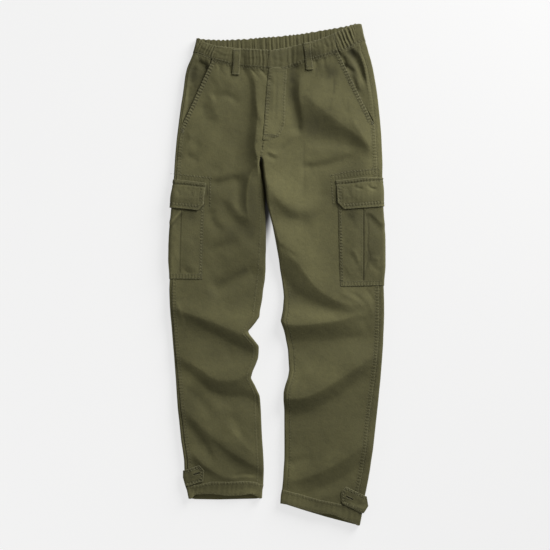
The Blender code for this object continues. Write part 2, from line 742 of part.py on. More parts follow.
# ------------------------------------------------------------ belt loops
def belt_loop(name, x, y, face):
    rows = []
    count = 4
    for k in range(count + 1):
        t = k / count
        cx = x[0] + (x[1] - x[0]) * t
        cy = y[0] + (y[1] - y[0]) * t
        row = []
        for side_step in (-0.5, 0.0, 0.5):
            px = cx + side_step * LOOP_WIDTH
            if face > 0:
                z = band_height(px, cy) + GAP + WALL
                row.append(at(px, cy, z, UP))
            else:
                row.append(at(px, cy, 0.0, DOWN))
        rows.append(row)
    if face > 0:        # the strap is taut: it never dips between its ends
        low = [min(p[2] for p, _ in row) for row in rows]
        for i, row in enumerate(rows):
            level = max(low[i], (low[0] + low[-1]) / 2)
            rows[i] = [((p[0], p[1], max(p[2], level)), out)
                       for p, out in row]
    shell(name, rows, WALL, "twill_trim")


# ------------------------------------------------------------- hem bands
def hem_row(side, down):
    """A ring of points round a hem; down is 0 at the seam, 1 at its edge."""
    leg, hem = LEG_ROWS[side], HEMS[side]
    a0, b0 = leg["outer"][-1] - GAP / SQ, leg["inner"][-1] - GAP / SQ
    a = a0 - hem["ends"][0] * down
    b = b0 - hem["ends"][1] * down
    sg = OUTWARD[side]
    x0 = section(side, "outer", a) - sg * ROLL / SQ
    x1 = section(side, "inner", b) + sg * ROLL / SQ
    row = []
    for s in HEM_COLS:
        x = x0 + (x1 - x0) * s
        y = leg_y(side, a, b, x)
        y += hem["front_dip"] * down * math.sin(math.pi * s) ** 0.5
        row.append(on_top(side, x, y, SEAM_RISE))
    for k in range(1, ARC):
        p = on_edge(side, "inner", b, 90 - 180 * k / ARC)
        row.append(moved(p, SEAM_RISE))
    for s in HEM_COLS[::-1]:
        x = x0 + (x1 - x0) * s
        y = leg_y(side, a, b, x)
        y -= hem["back_dip"] * down * math.sin(math.pi * s) ** 0.5
        row.append(at(x, y, 0.0, DOWN))
    for k in range(1, ARC):
        p = on_edge(side, "outer", a, -90 + 180 * k / ARC)
        row.append(moved(p, SEAM_RISE))
    return row


def hem_band(side):
    rows = [hem_row(side, d) for d in (0.0, 0.5, 1.0)]
    shell("hem_band_" + side, rows, HEM_WALL, "twill_band", ring=True)


# -------------------------------------------------------------- hem tabs
def hem_tab(side):
    """A pointed strap on the front, its root round the folded outer edge."""
    tab, sg = TABS[side], OUTWARD[side]
    stand = SEAM_RISE + GAP + WALL
    rows = []
    for t in (0.0, 0.33, 0.67, 1.0):
        root = tab["root_y"][0] + (tab["root_y"][1] - tab["root_y"][0]) * t
        tip = tab["tip_y"][0] + (tab["tip_y"][1] - tab["tip_y"][0]) * t
        edge = section(side, "outer", root)
        row = [moved(on_edge(side, "outer", root, angle), stand)
               for angle in (-25, 10, 50)]
        back = abs(t - 0.5) * 2 * tab["point"]
        for s in (0.14, 0.4, 0.7, 1.0):
            reach = (tab["reach"] - (back if s == 1.0 else 0.0)) * s
            x = edge - sg * reach
            y = root + (tip - root) * s
            row.append(on_top(side, x, y, stand + 0.0002))
        rows.append(row)
    shell("hem_tab_" + side, rows, WALL, "twill_trim")


for SIDE in ("L", "R"):
    pocket_facing(SIDE)
    cargo_pocket(SIDE)
    cargo_flap(SIDE)
    hem_band(SIDE)
    hem_tab(SIDE)
fly_placket()
band_front("waistband_front_L", "L", BAND_SEAM["L"],
           tuple(c - GAP / 2 / SQ for c in BAND_CENTRE))
band_front("waistband_front_R", "R",
           tuple(c + GAP / 2 / SQ for c in BAND_CENTRE), BAND_SEAM["R"])
band_back()
for NAME, LOOP in LOOPS.items():
    belt_loop(NAME, LOOP["x"], LOOP["y"], LOOP["face"])
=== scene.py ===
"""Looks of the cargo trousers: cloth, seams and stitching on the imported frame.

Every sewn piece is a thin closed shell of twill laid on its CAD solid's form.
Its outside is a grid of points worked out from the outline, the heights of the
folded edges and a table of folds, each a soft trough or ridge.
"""
import math
import bmesh
import bpy
import numpy as np
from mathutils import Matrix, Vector


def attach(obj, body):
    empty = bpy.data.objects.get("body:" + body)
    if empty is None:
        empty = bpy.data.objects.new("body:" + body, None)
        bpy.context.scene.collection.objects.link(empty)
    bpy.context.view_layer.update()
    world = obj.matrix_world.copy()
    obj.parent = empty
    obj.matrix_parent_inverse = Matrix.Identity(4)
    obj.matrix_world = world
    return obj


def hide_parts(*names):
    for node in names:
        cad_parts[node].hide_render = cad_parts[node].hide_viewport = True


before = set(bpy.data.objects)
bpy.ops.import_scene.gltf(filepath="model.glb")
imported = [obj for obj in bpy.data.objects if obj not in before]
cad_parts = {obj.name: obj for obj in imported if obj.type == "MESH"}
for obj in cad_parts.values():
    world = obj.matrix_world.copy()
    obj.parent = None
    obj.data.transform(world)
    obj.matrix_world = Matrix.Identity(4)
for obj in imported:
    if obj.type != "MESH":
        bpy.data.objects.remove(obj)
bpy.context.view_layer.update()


# ---------------------------------------------------------------- sizes
# Plan positions are in squares of a drafting grid, x to the right and y down
# the garment; SQ is one square in metres. Heights are in metres.
SQ = 0.0021
MID_X, MID_Y = 276.35, 274.10      # the square over the origin
WALL = 0.0015
LAYER = 0.0018
ROLL = 0.0035                      # outside radius of the folded long edges
CROWN = 0.0080
GENTLE = 0.055                     # how fast the crown falls to an edge
DEEP = 1.45                        # how strongly the folds are formed
CLOTH = 0.0010                     # one thickness of twill
SIDE = {"L": -1.0, "R": 1.0}       # which way is outward
CROTCH = (261.0, 157.0)
R_SQ = ROLL / SQ


# ------------------------------------------------------------- small helpers
def pairs(text):
    return np.array([[float(v) for v in p.split(",")] for p in text.split()])


def curve(text, soften=0.0):
    """A function through the named points (at, value), corners softened."""
    p = pairs(text)
    if not soften:
        return lambda t: np.interp(t, p[:, 0], p[:, 1])
    fine = np.arange(p[0, 0] - 12, p[-1, 0] + 12.01, 0.25)
    v = np.interp(fine, p[:, 0], p[:, 1])
    a0 = (p[1, 1] - p[0, 1]) / (p[1, 0] - p[0, 0])
    a1 = (p[-1, 1] - p[-2, 1]) / (p[-1, 0] - p[-2, 0])
    v = np.where(fine < p[0, 0], p[0, 1] + a0 * (fine - p[0, 0]), v)
    v = np.where(fine > p[-1, 0], p[-1, 1] + a1 * (fine - p[-1, 0]), v)
    r = int(soften * 12)
    k = np.exp(-0.5 * (np.arange(-r, r + 1) * 0.25 / soften) ** 2)
    v = np.convolve(np.pad(v, r, mode="edge"), k / k.sum(), "valid")
    return lambda t: np.interp(t, fine, v)


def smooth(t):
    t = np.clip(t, 0.0, 1.0)
    return t * t * (3 - 2 * t)


def bump(t):
    """1 at 0, falling softly to 0 at -1 and 1."""
    return 1 - smooth(np.abs(t))


def soft_max(a, b, k):
    return np.maximum(a, b) + k * np.exp(-np.abs(a - b) / k) * 0.35


def cell(i, j, seed):
    h = (i.astype(np.int64) * 374761393 + j.astype(np.int64) * 668265263
         + seed * 974634777) & 0xFFFFFFFF
    h = ((h ^ (h >> 13)) * 1274126177) & 0xFFFFFFFF
    return ((h ^ (h >> 16)) & 0xFFFF) / 32767.5 - 1.0


def noise(x, y, size, seed):
    """Smooth noise from -1 to 1, with lumps of the given size."""
    x, y = np.asarray(x, float) / size, np.asarray(y, float) / size
    i, j = np.floor(x), np.floor(y)
    u, v = smooth(x - i), smooth(y - j)
    a, b = cell(i, j, seed), cell(i + 1, j, seed)
    c, d = cell(i, j + 1, seed), cell(i + 1, j + 1, seed)
    return (a + (b - a) * u) * (1 - v) + (c + (d - c) * u) * v


def spline(points, steps=5):
    """A smooth path through the points."""
    p = np.asarray(points, float)
    if len(p) < 3:
        return p
    q = np.vstack([2 * p[0] - p[1], p, 2 * p[-1] - p[-2]])
    out = []
    for k in range(len(p) - 1):
        a, b, c, d = q[k:k + 4]
        for t in np.arange(steps) / steps:
            out.append(0.5 * (2 * b + (c - a) * t + (2 * a - 5 * b + 4 * c - d)
                              * t * t + (3 * b - a - 3 * c + d) * t ** 3))
    return np.vstack(out + [p[-1]])


def near(path, x, y):
    """Distance to a path, minus on its right or upper side, and the run.

    The path's nearest stretches are blended, so that the distance turns
    smoothly where two stretches are equally near, and runs on past its ends.
    """
    step = np.diff(path, axis=0)
    size = np.hypot(step[:, 0], step[:, 1])
    way = step / size[:, None]
    mid = (path[:-1] + path[1:]) / 2
    run = np.cumsum(size) - size / 2
    nearest = np.full(x.shape, 1e18)
    for m in mid:
        nearest = np.minimum(nearest, (x - m[0]) ** 2 + (y - m[1]) ** 2)
    blur = 2 * (1.6 + 0.30 * np.sqrt(nearest)) ** 2
    total = np.zeros(x.shape)
    away = np.zeros(x.shape)
    along = np.zeros(x.shape)
    for m, w, r in zip(mid, way, run):
        ex, ey = x - m[0], y - m[1]
        share = np.exp((nearest - ex * ex - ey * ey) / blur)
        total += share
        away += share * (w[0] * ey - w[1] * ex)
        along += share * (r + w[0] * ex + w[1] * ey)
    return away / total, along / total, size.sum()


# ------------------------------------------------------------------ outlines
CENTRE = "30,270 53,270 68,269.5 85,267.5 105,266 120,265 140,263.5 157,261"
EDGES = {
    ("L", "outer"): curve(
        "30,198 38,196 45,194.8 53,192.5 60,190 68,187 75,185.3 85,184 "
        "95,182.7 105,181 120,179 140,176.5 157,175 165,174.5 175,174 190,173 "
        "205,172 230,171 250,170.5 270,170 290,169.2 305,169.7 316,170.5 "
        "325,171.4 335,172.2 345,173 356,174 370,175 380,175.8 395,176.7 "
        "410,177.8 420,179 440,181 450,182.6 460,184 480,184.6 485,185 "
        "490,187 500,189 510,190.5", 1.2),
    ("L", "inner"): curve(
        CENTRE + " 165,260.5 175,261.5 190,264 205,265 230,266 250,266 "
        "262,265.3 270,265 280,264 290,262 300,260.7 310,259.3 317,259 "
        "322,255.5 327,251 331.5,246.6 336,250 341,254.3 346,258.4 352,258.3 "
        "358,257.8 364,255.6 371,252.5 378,250.8 386,255.5 393,258.7 "
        "396,259.6 410,260 430,261 450,262.3 460,262.8 470,263 485,262.5 "
        "490,261.5 500,261 510,260.5", 0.7),
    ("R", "outer"): curve(
        "15,359.5 25,361.5 30,362.4 34,363 40,364.2 46,365.8 52,367.2 "
        "60,370 68,372 75,373.3 85,375 95,376.3 105,377.4 120,379 140,380 "
        "160,381 175,381.3 205,382.3 235,382.9 250,383 300,383 315,383 "
        "325,382.6 335,382 345,381.5 360,380.2 370,379.3 380,378.7 400,377 "
        "410,376 420,375 430,374 440,373 450,372 460,370.4 470,369 480,367.2 "
        "490,365.2 500,363 510,361.5 526,358.5 535,357", 1.2),
    ("R", "inner"): curve(
        CENTRE + " 160,262.4 165,263 175,264 185,265.5 200,268 210,270 "
        "220,271.6 230,273.4 240,275.4 250,277.2 260,279 270,280.2 280,282 "
        "290,283.4 297,284 305,283.4 310,283 315,282 321,280.8 330,284 "
        "335,285.3 340,286.2 345,287.3 350,288.2 360,288.7 370,289.2 "
        "377,288 385,285.2 392,283.4 400,283.2 410,284 440,284 460,284 "
        "470,283.4 480,283 490,282 495,281 503,280.5 510,280 520,279.5", 0.7),
}
centre_x = curve(CENTRE, 1.2)
SIDE_IN = {     # the outseam, in from the folded edge
    "L": curve("30,2.4 157,2.6 290,2.8 345,1.9 383,2.5 415,3.4 510,3.7"),
    "R": curve("20,4.8 40,5.4 52,6 68,5 100,4.6 157,4.4 205,4 315,4 345,3.5 "
               "370,3.7 395,5.3 424,6.2 510,6.5"),
}
LEG_IN = {      # the inseam, in from the folded edge
    "L": curve("157,2.4 175,2.6 190,3.2 205,4 230,5 270,5.8 290,5.4 325,4.8 "
               "345,4 378,3.6 430,4.5 510,4.5"),
    "R": curve("157,2.4 175,2.6 205,4 235,5 424,5 510,4.6"),
}
FRONT_TOP = curve("186,34 196,39 204,42.5 216,46 230,47.5 245,49 262,49.7 "
                  "272,50.3 284,48.2 290,47 301.5,44 313,41.5 324,37.7 "
                  "338,32 345,28.6 350,26 354,24.2 361,23.1 368,22.6", 1.0)
FRONT_SEAM = curve("184,50 192,53 201,55 210.5,59 230,64 245,66.9 268,68.5 "
                   "284,69.4 295,64.4 317,58 328,54.5 336,51 345,49.5 "
                   "351,47 358,42.7 365,40 374,37", 1.0)
BACK_TOP = curve("186,38 195,38 202,39.2 222,40 246,39 264,37.2 276,36.6 "
                 "300,34 318,31 336,28 348,25.8 356,23.4 361,23.6 368,24.5",
                 0.8)
BACK_SEAM = curve("184,53 192,53 206,57 230,59 276,56.5 322,49.5 346,44 "
                  "365,40 374,38", 1.0)
HEM_SEAM = {
    "L": curve("180,486 190,485.5 198,484.6 212,481.4 230,481.6 247,480.7 "
               "256,482 264,484.4", 1.5),
    "R": curve("278,488.6 284,489.9 298,493.3 319,499.3 340,503.6 352,506 "
               "365,508.5", 1.5),
}
POCKET_EDGE = {     # slanted edge of the hand pocket: x at a height
    "L": curve("40,220 59.5,212.2 95,196 127,181.2 150,171"),
    "R": curve("40,332.5 51,337.6 85,354 119,371 140,381.5"),
}
POCKET_FOOT = {"L": 128.0, "R": 120.0}


WIDER = {       # how far the folded edges stand out of those lines
    ("L", "outer"): curve("30,-1 42,-.9 58,-.6 66,0 510,0", 2),
    ("L", "inner"): curve("150,0 157,0 161,-1 165,-1.4 170,-.6 176,0 255,0 265,.5 280,.9 300,1.5 310,.8 320,.3 "
                          "330,1.2 345,.5 370,.4 380,0 390,-.4 400,.5 410,.9 "
                          "440,.6 470,.9 490,.8 510,.6", 2),
    ("R", "outer"): curve("28,0 36,.3 44,1 50,1.4 60,.9 80,.9 100,1.2 "
                          "120,1.1 135,1.6 165,1.5 180,.9 200,.4 275,.4 "
                          "285,.7 300,1.2 320,1.3 350,1.7 370,2 390,1.6 "
                          "420,1.3 450,1 500,1.1", 2),
    ("R", "inner"): curve("150,0 188,0 197,-.7 206,-1.5 214,-1.1 226,0 350,-.3 400,.2 450,.4 480,0 520,0", 2),
}


def edge(side, which, y):
    away = SIDE[side] if which == "outer" else 1.0
    return EDGES[side, which](y) + away * WIDER[side, which](y)


def side_x(side, y):
    return EDGES[side, "outer"](y) - SIDE[side] * SIDE_IN[side](y)


def leg_x(side, y):
    return EDGES[side, "inner"](y) + SIDE[side] * LEG_IN[side](y)


# --------------------------------------------------------------- the folds
# One row per fold: the leg it is on (H for the hips, both sides), the places
# that it runs through, the half widths on its upper or right side and on its
# lower or left side, the rise in millimetres (a trough is negative), how
# round its top is, how the width grows, and the parts that fade at its ends.
FOLDS = []


def fold(leg, path, upper, lower, rise, top=2.0, grow=1.0, fade=(.25, .25)):
    FOLDS.append((leg, spline(pairs(path)), upper, lower, rise, top, grow,
                  fade))
# the ridge of the fly and of the right thigh's inner side
fold("X", "248,58 254,78 255.8,98 257.6,116 256.8,128 255.2,140 255.4,150 258.8,164 262,180 266,210 273,240 281,266 289,290",
     31, 6.5, 8.0, 1.2, 1.0, (.45, .45))
# hips, beside the fly
fold("H", "236,50 244,70 248.5,82 249.8,97 249.4,115 246.8,135 244.5,152 242,168",
     5.0, 17, -2.2, 1.8, 1.0, (.15, .55))
fold("H", "250,72 255,84 256.5,100 258,112 260,121 257.5,134 256.5,150",
     8, 3.4, 1.0, 1.5, 1.0, (.15, .2))
fold("H", "258,116 258.6,124 256.5,134", 2.0, 2.2, -0.6, 2, 1, (.4, .5))
fold("H", "211,100 217,96.5 224,95 233,98 243,107", 4.4, 4.6, -1.25, 2, 1,
     (.15, .35))
fold("H", "212,84 224,79 238,84", 8, 8, 0.9)
fold("H", "201.5,100 205.5,111 210,122 214,132", 6, 6, -0.95, 2, 1, (.3, .4))
fold("H", "209,90 211.5,100 215,111 219,122", 4.0, 3.6, 0.42)
fold("H", "187,128 190,141 178,157", 5, 3, 0.9, 1.5, 1, (.3, .15))
fold("H", "190,138 194,143 201,149", 5, 4, -0.7)
fold("H", "184,154 191,158 200,161", 4, 4, -0.7)
fold("H", "200,132 214,146 238,152", 13, 13, 1.1)
fold("H", "204,168 214,169 226,170", 4, 4, -0.4, 2, 1, (.4, .4))
# the fly's right side and the pull across the right hip
fold("H", "299.5,60 294.5,72 291.6,85 291.6,96 294,107 296.8,119 299,137",
     5.2, 12, -3.0, 1.8, .55, (.13, .12))
fold("H", "301,70 299.4,84 299.4,97 301.2,110 302.6,127", 22, 3.8, 2.2, 1.4, .9,
     (.3, .4))
fold("H", "283,86 286,110 283,132", 6, 7, 0.7)
fold("H", "301,91 318,106.5 338,121.5 352,131.5 366,144 377,161", 24, 12, 5.4,
     1.5, .6, (.15, .3))
fold("H", "303,136 316,139 332,141 350,144 368,148", 14, 9, -2.6, 1.9, .7,
     (.3, .3))
fold("H", "303.6,140 304.2,152 304,170 304.2,198", 2.4, 2.4, -0.2, 2, 1,
     (.15, .3))
fold("H", "298,168 312,167.5 326,165.5 342,161 361,155", 4.5, 8, -2.3, 2, 1.4,
     (.2, .25))
fold("H", "345,113 356,127 365,140 373,156", 7, 5, 1.1, 1.6, 1, (.3, .3))
fold("H", "308,153 330,149 352,147", 9, 6, 0.8)
fold("H", "265.5,153.5 269,156 273,158 279.5,157.5", 2.2, 2.8, -.85, 2, 1,
     (.25, .4))
fold("H", "265,150.5 269,152 274,154 280,155", 2.0, 1.8, 0.5, 1.6, 1,
     (.2, .4))
fold("H", "316,60 317,68 318,76", 2.4, 2.4, -0.5, 2, 1, (.1, .5))
fold("H", "323,57 324,66 325,74", 2.4, 2.4, -0.4, 2, 1, (.1, .5))
fold("H", "333,60 335,80 336,98", 3, 3, -0.35)
fold("H", "345,106 349,117 350,126", 3, 3, -0.3)
# left thigh
fold("L", "204,184 220,183.5 234,180 246,172", 5.0, 8, -2.3, 2, 1.2,
     (.3, .35))
fold("L", "262,160 256,168 251,178 248.4,190 247.4,203 248.2,216 251,230", 15, 4.6, 3.3,
     1.4, 1, (.1, .35))
fold("L", "238.6,174 239.2,190 240.4,204 244,217", 7.5, 5.5, -1.3, 2, 1, (.2, .3))
fold("L", "234,213 242,217.5 250,217", 3.4, 4, 0.3, 1.7, 1, (.3, .4))
fold("L", "218,197 224.5,208.5 232,219.5 241,228.5 254,235", 6, 10, -1.25, 2, 1.4,
     (.25, .45))
fold("L", "229,194 234,206 243,216 256,224", 8, 5, 1.0, 1.6)
fold("L", "210.5,207 212.5,221 221,231 230,233.5", 5.0, 5.4, -1.2, 2, 1,
     (.2, .35))
fold("L", "204,252 222,246.5 241,241", 5.6, 6.6, -1.0)
fold("L", "212,234 226,236 238,245 252,256", 11, 9, 1.1)
fold("L", "207,292 222,286.5 236,279.5 250,273 263,268", 8.5, 8, -3.1, 2, 1.0,
     (.2, .22))
fold("L", "220,263 240,255 258,244", 12, 10, 1.0)
# left knee
fold("L", "160,302 172,307 186,312.5 200,317.5 213,322 232,330 249,336 268,343",
     19, 11, 4.8, 1.4, 1, (.2, .1))
fold("L", "170,313 186,321 205,331 226,342 243,351 257,357 272,363", 7, 16,
     -2.5, 1.9, 1.2, (.3, .1))
fold("L", "176,299 180,312 186,326", 2.5, 2.5, 0.6, 1.6)
fold("L", "181,314 185,321 187,328", 2, 2.4, -0.4)
fold("L", "166,348 180,357 192,364 202,370 212,377 222,380 232,380 242,377 256,369 270,361", 18, 9,
     4.4, 1.5, 1, (.42, .1))
fold("L", "168,362 181,368 194,378 208,391 222,397 234,397.5 243,397.5 252,401 262,408 272,415",
     6, 11, -2.4, 2, 1.1, (.2, .1))
fold("L", "226,349 231,359 234,368", 4, 4, -0.4)
# left calf
fold("L", "182,384 199,399 216,418", 6, 6, -1.1)
fold("L", "190,383 207,398 226,420", 8, 7, 1.0)
fold("L", "170,396 184,409 200,424.5 219,443 245,460 268,473", 16, 8, 2.6, 1.5, 1, (.3, .2))
fold("L", "184,418 199,438 208.5,453 216,466", 4.5, 6.5, -1.6)
fold("L", "203,433 222,451 240,465 264,478 274,483", 6, 8, -1.7, 2, 1.2,
     (.25, .1))
fold("L", "229,410 239,430 249,448", 5, 6, -0.9)
fold("L", "222,418 240,440 260,460", 10, 6, 1.4, 1.5)
fold("L", "189,447 202,463 222,476 242,481", 7, 4.5, 1.4, 1.5)
fold("L", "187,456 200,469 216,478", 4.5, 5, -0.9)
fold("L", "227,480 238,477.5 250,477.5 259,479", 2.2, 2, 0.5, 1.6)
fold("L", "231,476 244,474.2 257,475.6", 2, 2, -0.5)
# right thigh
fold("R", "272,198 279,210 289,218.5 301,221 312,216", 7.0, 14, -1.6, 1.8, 1,
     (.2, .25))
fold("R", "264,176 277,197 289,208 302,209.5 316,199", 20, 8, 3.0, 1.6, 1,
     (.35, .45))
fold("R", "294,202.6 301,203.6 308,203", 1.0, 1.2, -0.25, 2, 1, (.4, .4))
fold("R", "320,170 320,185 322,202", 6, 7, -0.8)
fold("R", "277,244 283,248 290,253.4 299,260", 2.6, 3.4, -0.7, 2, 1, (.2, .3))
fold("R", "266,222 280,242 288.5,252 297.5,263 306.5,275 315,286 325,294 338,301 354,305 374,305", 30, 10, 4.8,
     1.4, .6, (.15, .3))
fold("R", "264,256 280,276 292,290 303,299.5 316,306 334,311 352,314 370,312", 7, 11,
     -2.2, 1.9, .7, (.15, .3))
# right knee
fold("R", "262,320 279,323 300,325 322,322.5 344,319 364,312 378,305", 20, 9, 5.6, 1.4,
     1, (.15, .35))
fold("R", "262,340 281,342 300,343 318,342 340,340 362,338 384,338", 9, 16, -3.0, 1.9,
     .6, (.15, .25))
fold("R", "337,292 347,295.5 358,302.5 365,309", 5, 3.4, 0.9, 1.5)
fold("R", "354,290 363,297 371,308 373,321", 4, 3, 0.7, 1.5)
fold("R", "347,291 356,296 364,302", 2.2, 2.2, -0.4)
fold("R", "365,288 371,296 374,303", 1.8, 2, -0.4)
fold("R", "362,316 366,327 370,335", 4, 4, -0.6)
fold("R", "298,350 304,366 306,382", 7, 7, 0.7)
# right calf
fold("R", "266,393 286,398 306,396.5 326,387 347,373.5 370,357 388,342", 27, 9.5, 6.2, 1.4,
     .9, (.15, .3))
fold("R", "266,409 284,414 303,414.5 322,406 344,393 370,372 388,357", 8, 14, -2.6,
     1.8, .95, (.15, .25))
fold("R", "286,462 298,461 316,455", 4, 5, -0.9, 2, 1, (.1, .4))
fold("R", "274,485 296,480 316,473 340,461 364,444 382,430", 24, 8, 4.0, 1.5, 1, (.3, .3))
fold("R", "286,498 306,494.5 322,488.5 344,478 367,462 380,452", 6, 9, -1.6, 2, 1, (.35, .25))
fold("R", "306,499 330,494 352,484", 8, 6, 0.8)

# cloth inside the left hand pocket
fold("PL", "196.5,60.5 200.5,62.5 204.5,66 208,70", 1.8, 3.4, -1.1, 2, 1.3,
     (.3, .1))
fold("PL", "209,66 203,73.5 196,80 188,87", 4, 6, -1.7, 2, 1, (.1, .3))
fold("PL", "199,58.8 195.5,60.8 191.5,64.2 187.5,68.5", 2.2, 2.6, 1.1, 1.6, 1,
     (.2, .3))
fold("PL", "197,67 191,71.5 186,78", 2.4, 2.6, -0.9)
fold("PL", "200,72 196,77 190,82", 2, 2.4, 0.6, 1.6)
fold("PL", "190.5,85 187.8,94 186.5,101", 2, 2.2, -0.9)
fold("PL", "196,84 192,92 189,100", 2.6, 3, -0.8)
fold("PL", "186.5,98 184.8,104 183,111", 2, 1.8, 0.5)
# and inside the right one
fold("PR", "349,46 355.5,50.5 360,56 362.8,63 364.6,70 366.6,80 369,91 372,104",
     3.0, 2.2, 1.5, 1.7, 1, (.1, .5))
fold("PR", "349,50 353.5,56 357.5,63 360.6,70 363.4,78 366,87", 2.6, 4.2, -2.3,
     2, .8, (.15, .3))
fold("PR", "340,53 345,54.8 349.5,58.5 353,64 357,72 360.5,80 363.5,90 366.5,100",
     3.4, 3.6, 1.3, 1.7, 1, (.08, .3))
fold("PR", "341,56.5 344,60 345.5,65 350,69.5 356,73.5", 2.2, 2.8, -1.9, 2, 1.2,
     (.15, .25))
fold("PR", "342.6,63.5 344.4,66 346.5,68.5", 1.6, 1.8, -1.6, 2, 1, (.3, .3))
fold("PR", "352,75 354,81.5 356,89 359,96", 1.7, 2.2, -0.9, 2, 1, (.2, .4))
fold("PR", "356,77 359,85 362.5,94", 1.9, 1.9, 0.7, 1.7, 1, (.3, .4))
# cargo pockets
fold("CL", "183,209.5 178,214.5 172.5,221 168,227", 1.5, 1.8, 0.8, 1.7, 1,
     (.15, .3))
fold("CL", "184,213 179,220 173.5,229", 2.2, 3, -0.5, 2, 1, (.3, .3))
fold("CL", "186,262 191,267 199,269", 3, 3, 0.5)
fold("CL", "184,232 190,238 198,241", 5, 4, -0.35)
fold("CL", "172,240 175,252 179,263", 3, 3, 0.45)
fold("CL", "183,268 187,272 193,273.5", 1.5, 1.8, -0.4)
fold("CR", "365,213 370,217.5 376,225 383,235", 3.6, 4.2, -0.9, 2, 1.2, (.2, .3))
fold("CR", "366,211 373,215.5 380,222 386,229", 2.4, 2.2, 0.6, 1.6, 1, (.2, .3))
fold("CR", "366.4,212 368.2,228 367.6,246 369.4,256 367,266 365,275", 1.0, 1.2,
     -0.42, 2, 1, (.1, .15))
fold("CR", "369,256 374,258.5 380,260", 2.5, 3, 0.6, 1.6)
fold("CR", "370,263 375,268 382,272", 2.6, 3, -0.5)
fold("CR", "346,250 352,258 357,268 358,277", 3, 3.6, -0.6)
fold("CR", "351,248 356,255 359,264", 2.2, 2.4, 0.5, 1.6)
fold("CR", "343,262 348,270 352,277", 2.4, 2.4, 0.4, 1.6)
fold("CR", "347,214 352,222 354,232", 3.4, 3.4, -0.4)
# flaps
fold("FL", "176,189 179,193 181,198", 1.4, 1.6, -0.3)
fold("FL", "190,189 192,194 193,198", 1.6, 1.6, -0.3)
fold("FL", "171,196 182,199 194,198", 4, 4, 0.45)
fold("FL", "197,190 199,196 200,203", 1.8, 2.2, -0.35)
fold("FR", "346,186 348,191 348.5,197", 1.3, 1.5, -0.6)
fold("FR", "354,184.5 358,188 364,189.5", 1.5, 1.6, -0.9, 2, 1, (.2, .3))
fold("FR", "367,184 371,188 378,189.5", 1.5, 1.6, -0.85, 2, 1, (.2, .3))
fold("FR", "349,193 358,197 371,197 384,194", 4.5, 4, 0.45)
fold("FR", "341,187 343,194 345,201", 2, 2, 0.3, 1.6)
# the underside, where the cloth is pressed and only crumples
fold("B", "192,124 214,130 236,141 256,154", 7, 5, 1.2, 1.6)
fold("B", "368,112 342,126 312,141 274,158", 6, 8, 1.3, 1.6)
fold("B", "198,88 222,82 250,91 262,96", 5, 5, 0.8)
fold("B", "300,78 328,88 362,83", 5, 6, 0.8)
fold("B", "276,96 296,112 306,134", 4, 5, 0.7)
fold("BL", "176,186 204,196 232,188 258,178", 6, 5, 0.9, 1.6)
fold("BL", "174,250 202,241 234,250 262,243", 6, 5, 0.9)
fold("BL", "190,298 220,290 256,297", 5, 5, 0.9)
fold("BL", "172,331 200,322 229,329 254,337", 7, 5, 1.5, 1.5)
fold("BL", "175,352 203,357 233,349 255,353", 6, 5, 1.2, 1.6)
fold("BL", "180,402 209,392 238,398 258,405", 6, 6, 1.1, 1.6)
fold("BL", "186,440 210,450 240,444 260,452", 5, 6, 0.9)
fold("BR", "272,190 300,199 336,190 360,182", 7, 6, 1.0, 1.6)
fold("BR", "283,252 318,243 350,251 378,243", 6, 5, 0.9)
fold("BR", "289,322 320,330 350,321 378,329", 7, 6, 1.5, 1.5)
fold("BR", "290,347 324,353 358,345 378,350", 6, 5, 1.2, 1.6)
fold("BR", "288,396 318,403 350,394 374,401", 6, 6, 1.1, 1.6)
fold("BR", "286,446 314,437 344,446 368,438", 6, 5, 0.9)
fold("BR", "290,478 318,484 346,476", 5, 5, 0.8)


def folds(kinds, x, y):
    """Rise of the folds of these kinds at plan points, metres."""
    z = np.zeros(x.shape)
    for leg, path, upper, lower, rise, top, grow, fade in FOLDS:
        if leg not in kinds:
            continue
        reach = 2.6 * max(upper, lower) * max(grow, 1.0)
        m = ((x > path[:, 0].min() - reach) & (x < path[:, 0].max() + reach)
             & (y > path[:, 1].min() - reach)
             & (y < path[:, 1].max() + reach))
        if not m.any():
            continue
        d, run, whole = near(path, x[m], y[m])
        t = run / whole
        size = np.where(d < 0, upper, lower) \
            * (2 / (1 + grow)) * (1 + (grow - 1) * np.clip(t, 0, 1))
        ends = smooth(t / fade[0]) * smooth((1 - t) / fade[1])
        z[m] += DEEP * rise * 1e-3 * ends * np.exp(-np.abs(d / size) ** top)
    return z


# Gathers under the waistband: x at the seam, slope, length, half width, rise.
GATHERS = [
    (213.5, .10, 7, 1.2, -.8), (217.6, .25, 9, 1.4, -.7),
    (221.5, -.2, 7, 1.2, -.7), (225.5, .3, 6, 1.3, -.5),
    (229.8, .05, 10, 1.3, -1.0), (242.5, .3, 8, 1.4, -.6),
    (250.3, .75, 9, 1.3, -1.1), (255.0, .4, 6, 1.2, -.5),
    (259.6, .85, 13, 1.7, -1.2), (264.6, .5, 7, 1.2, -.7),
    (275.0, .1, 5, 1.2, -.3), (287.6, -.1, 7, 1.4, -.5),
    (296.5, -.15, 9, 1.7, -.6), (301.0, -.1, 6, 1.2, -.4),
    (315.4, .0, 9, 1.4, -.8), (319.6, .1, 6, 1.2, -.5),
    (323.4, .1, 9, 1.4, -.7), (327.8, .15, 8, 1.3, -.5),
    (332.6, .2, 12, 1.6, -.6), (199.0, .2, 6, 1.5, -.6),
    (204.0, .3, 7, 1.5, -.7), (209.0, .3, 6, 1.4, -.6),
    (355.0, .3, 6, 1.5, -.5),
]


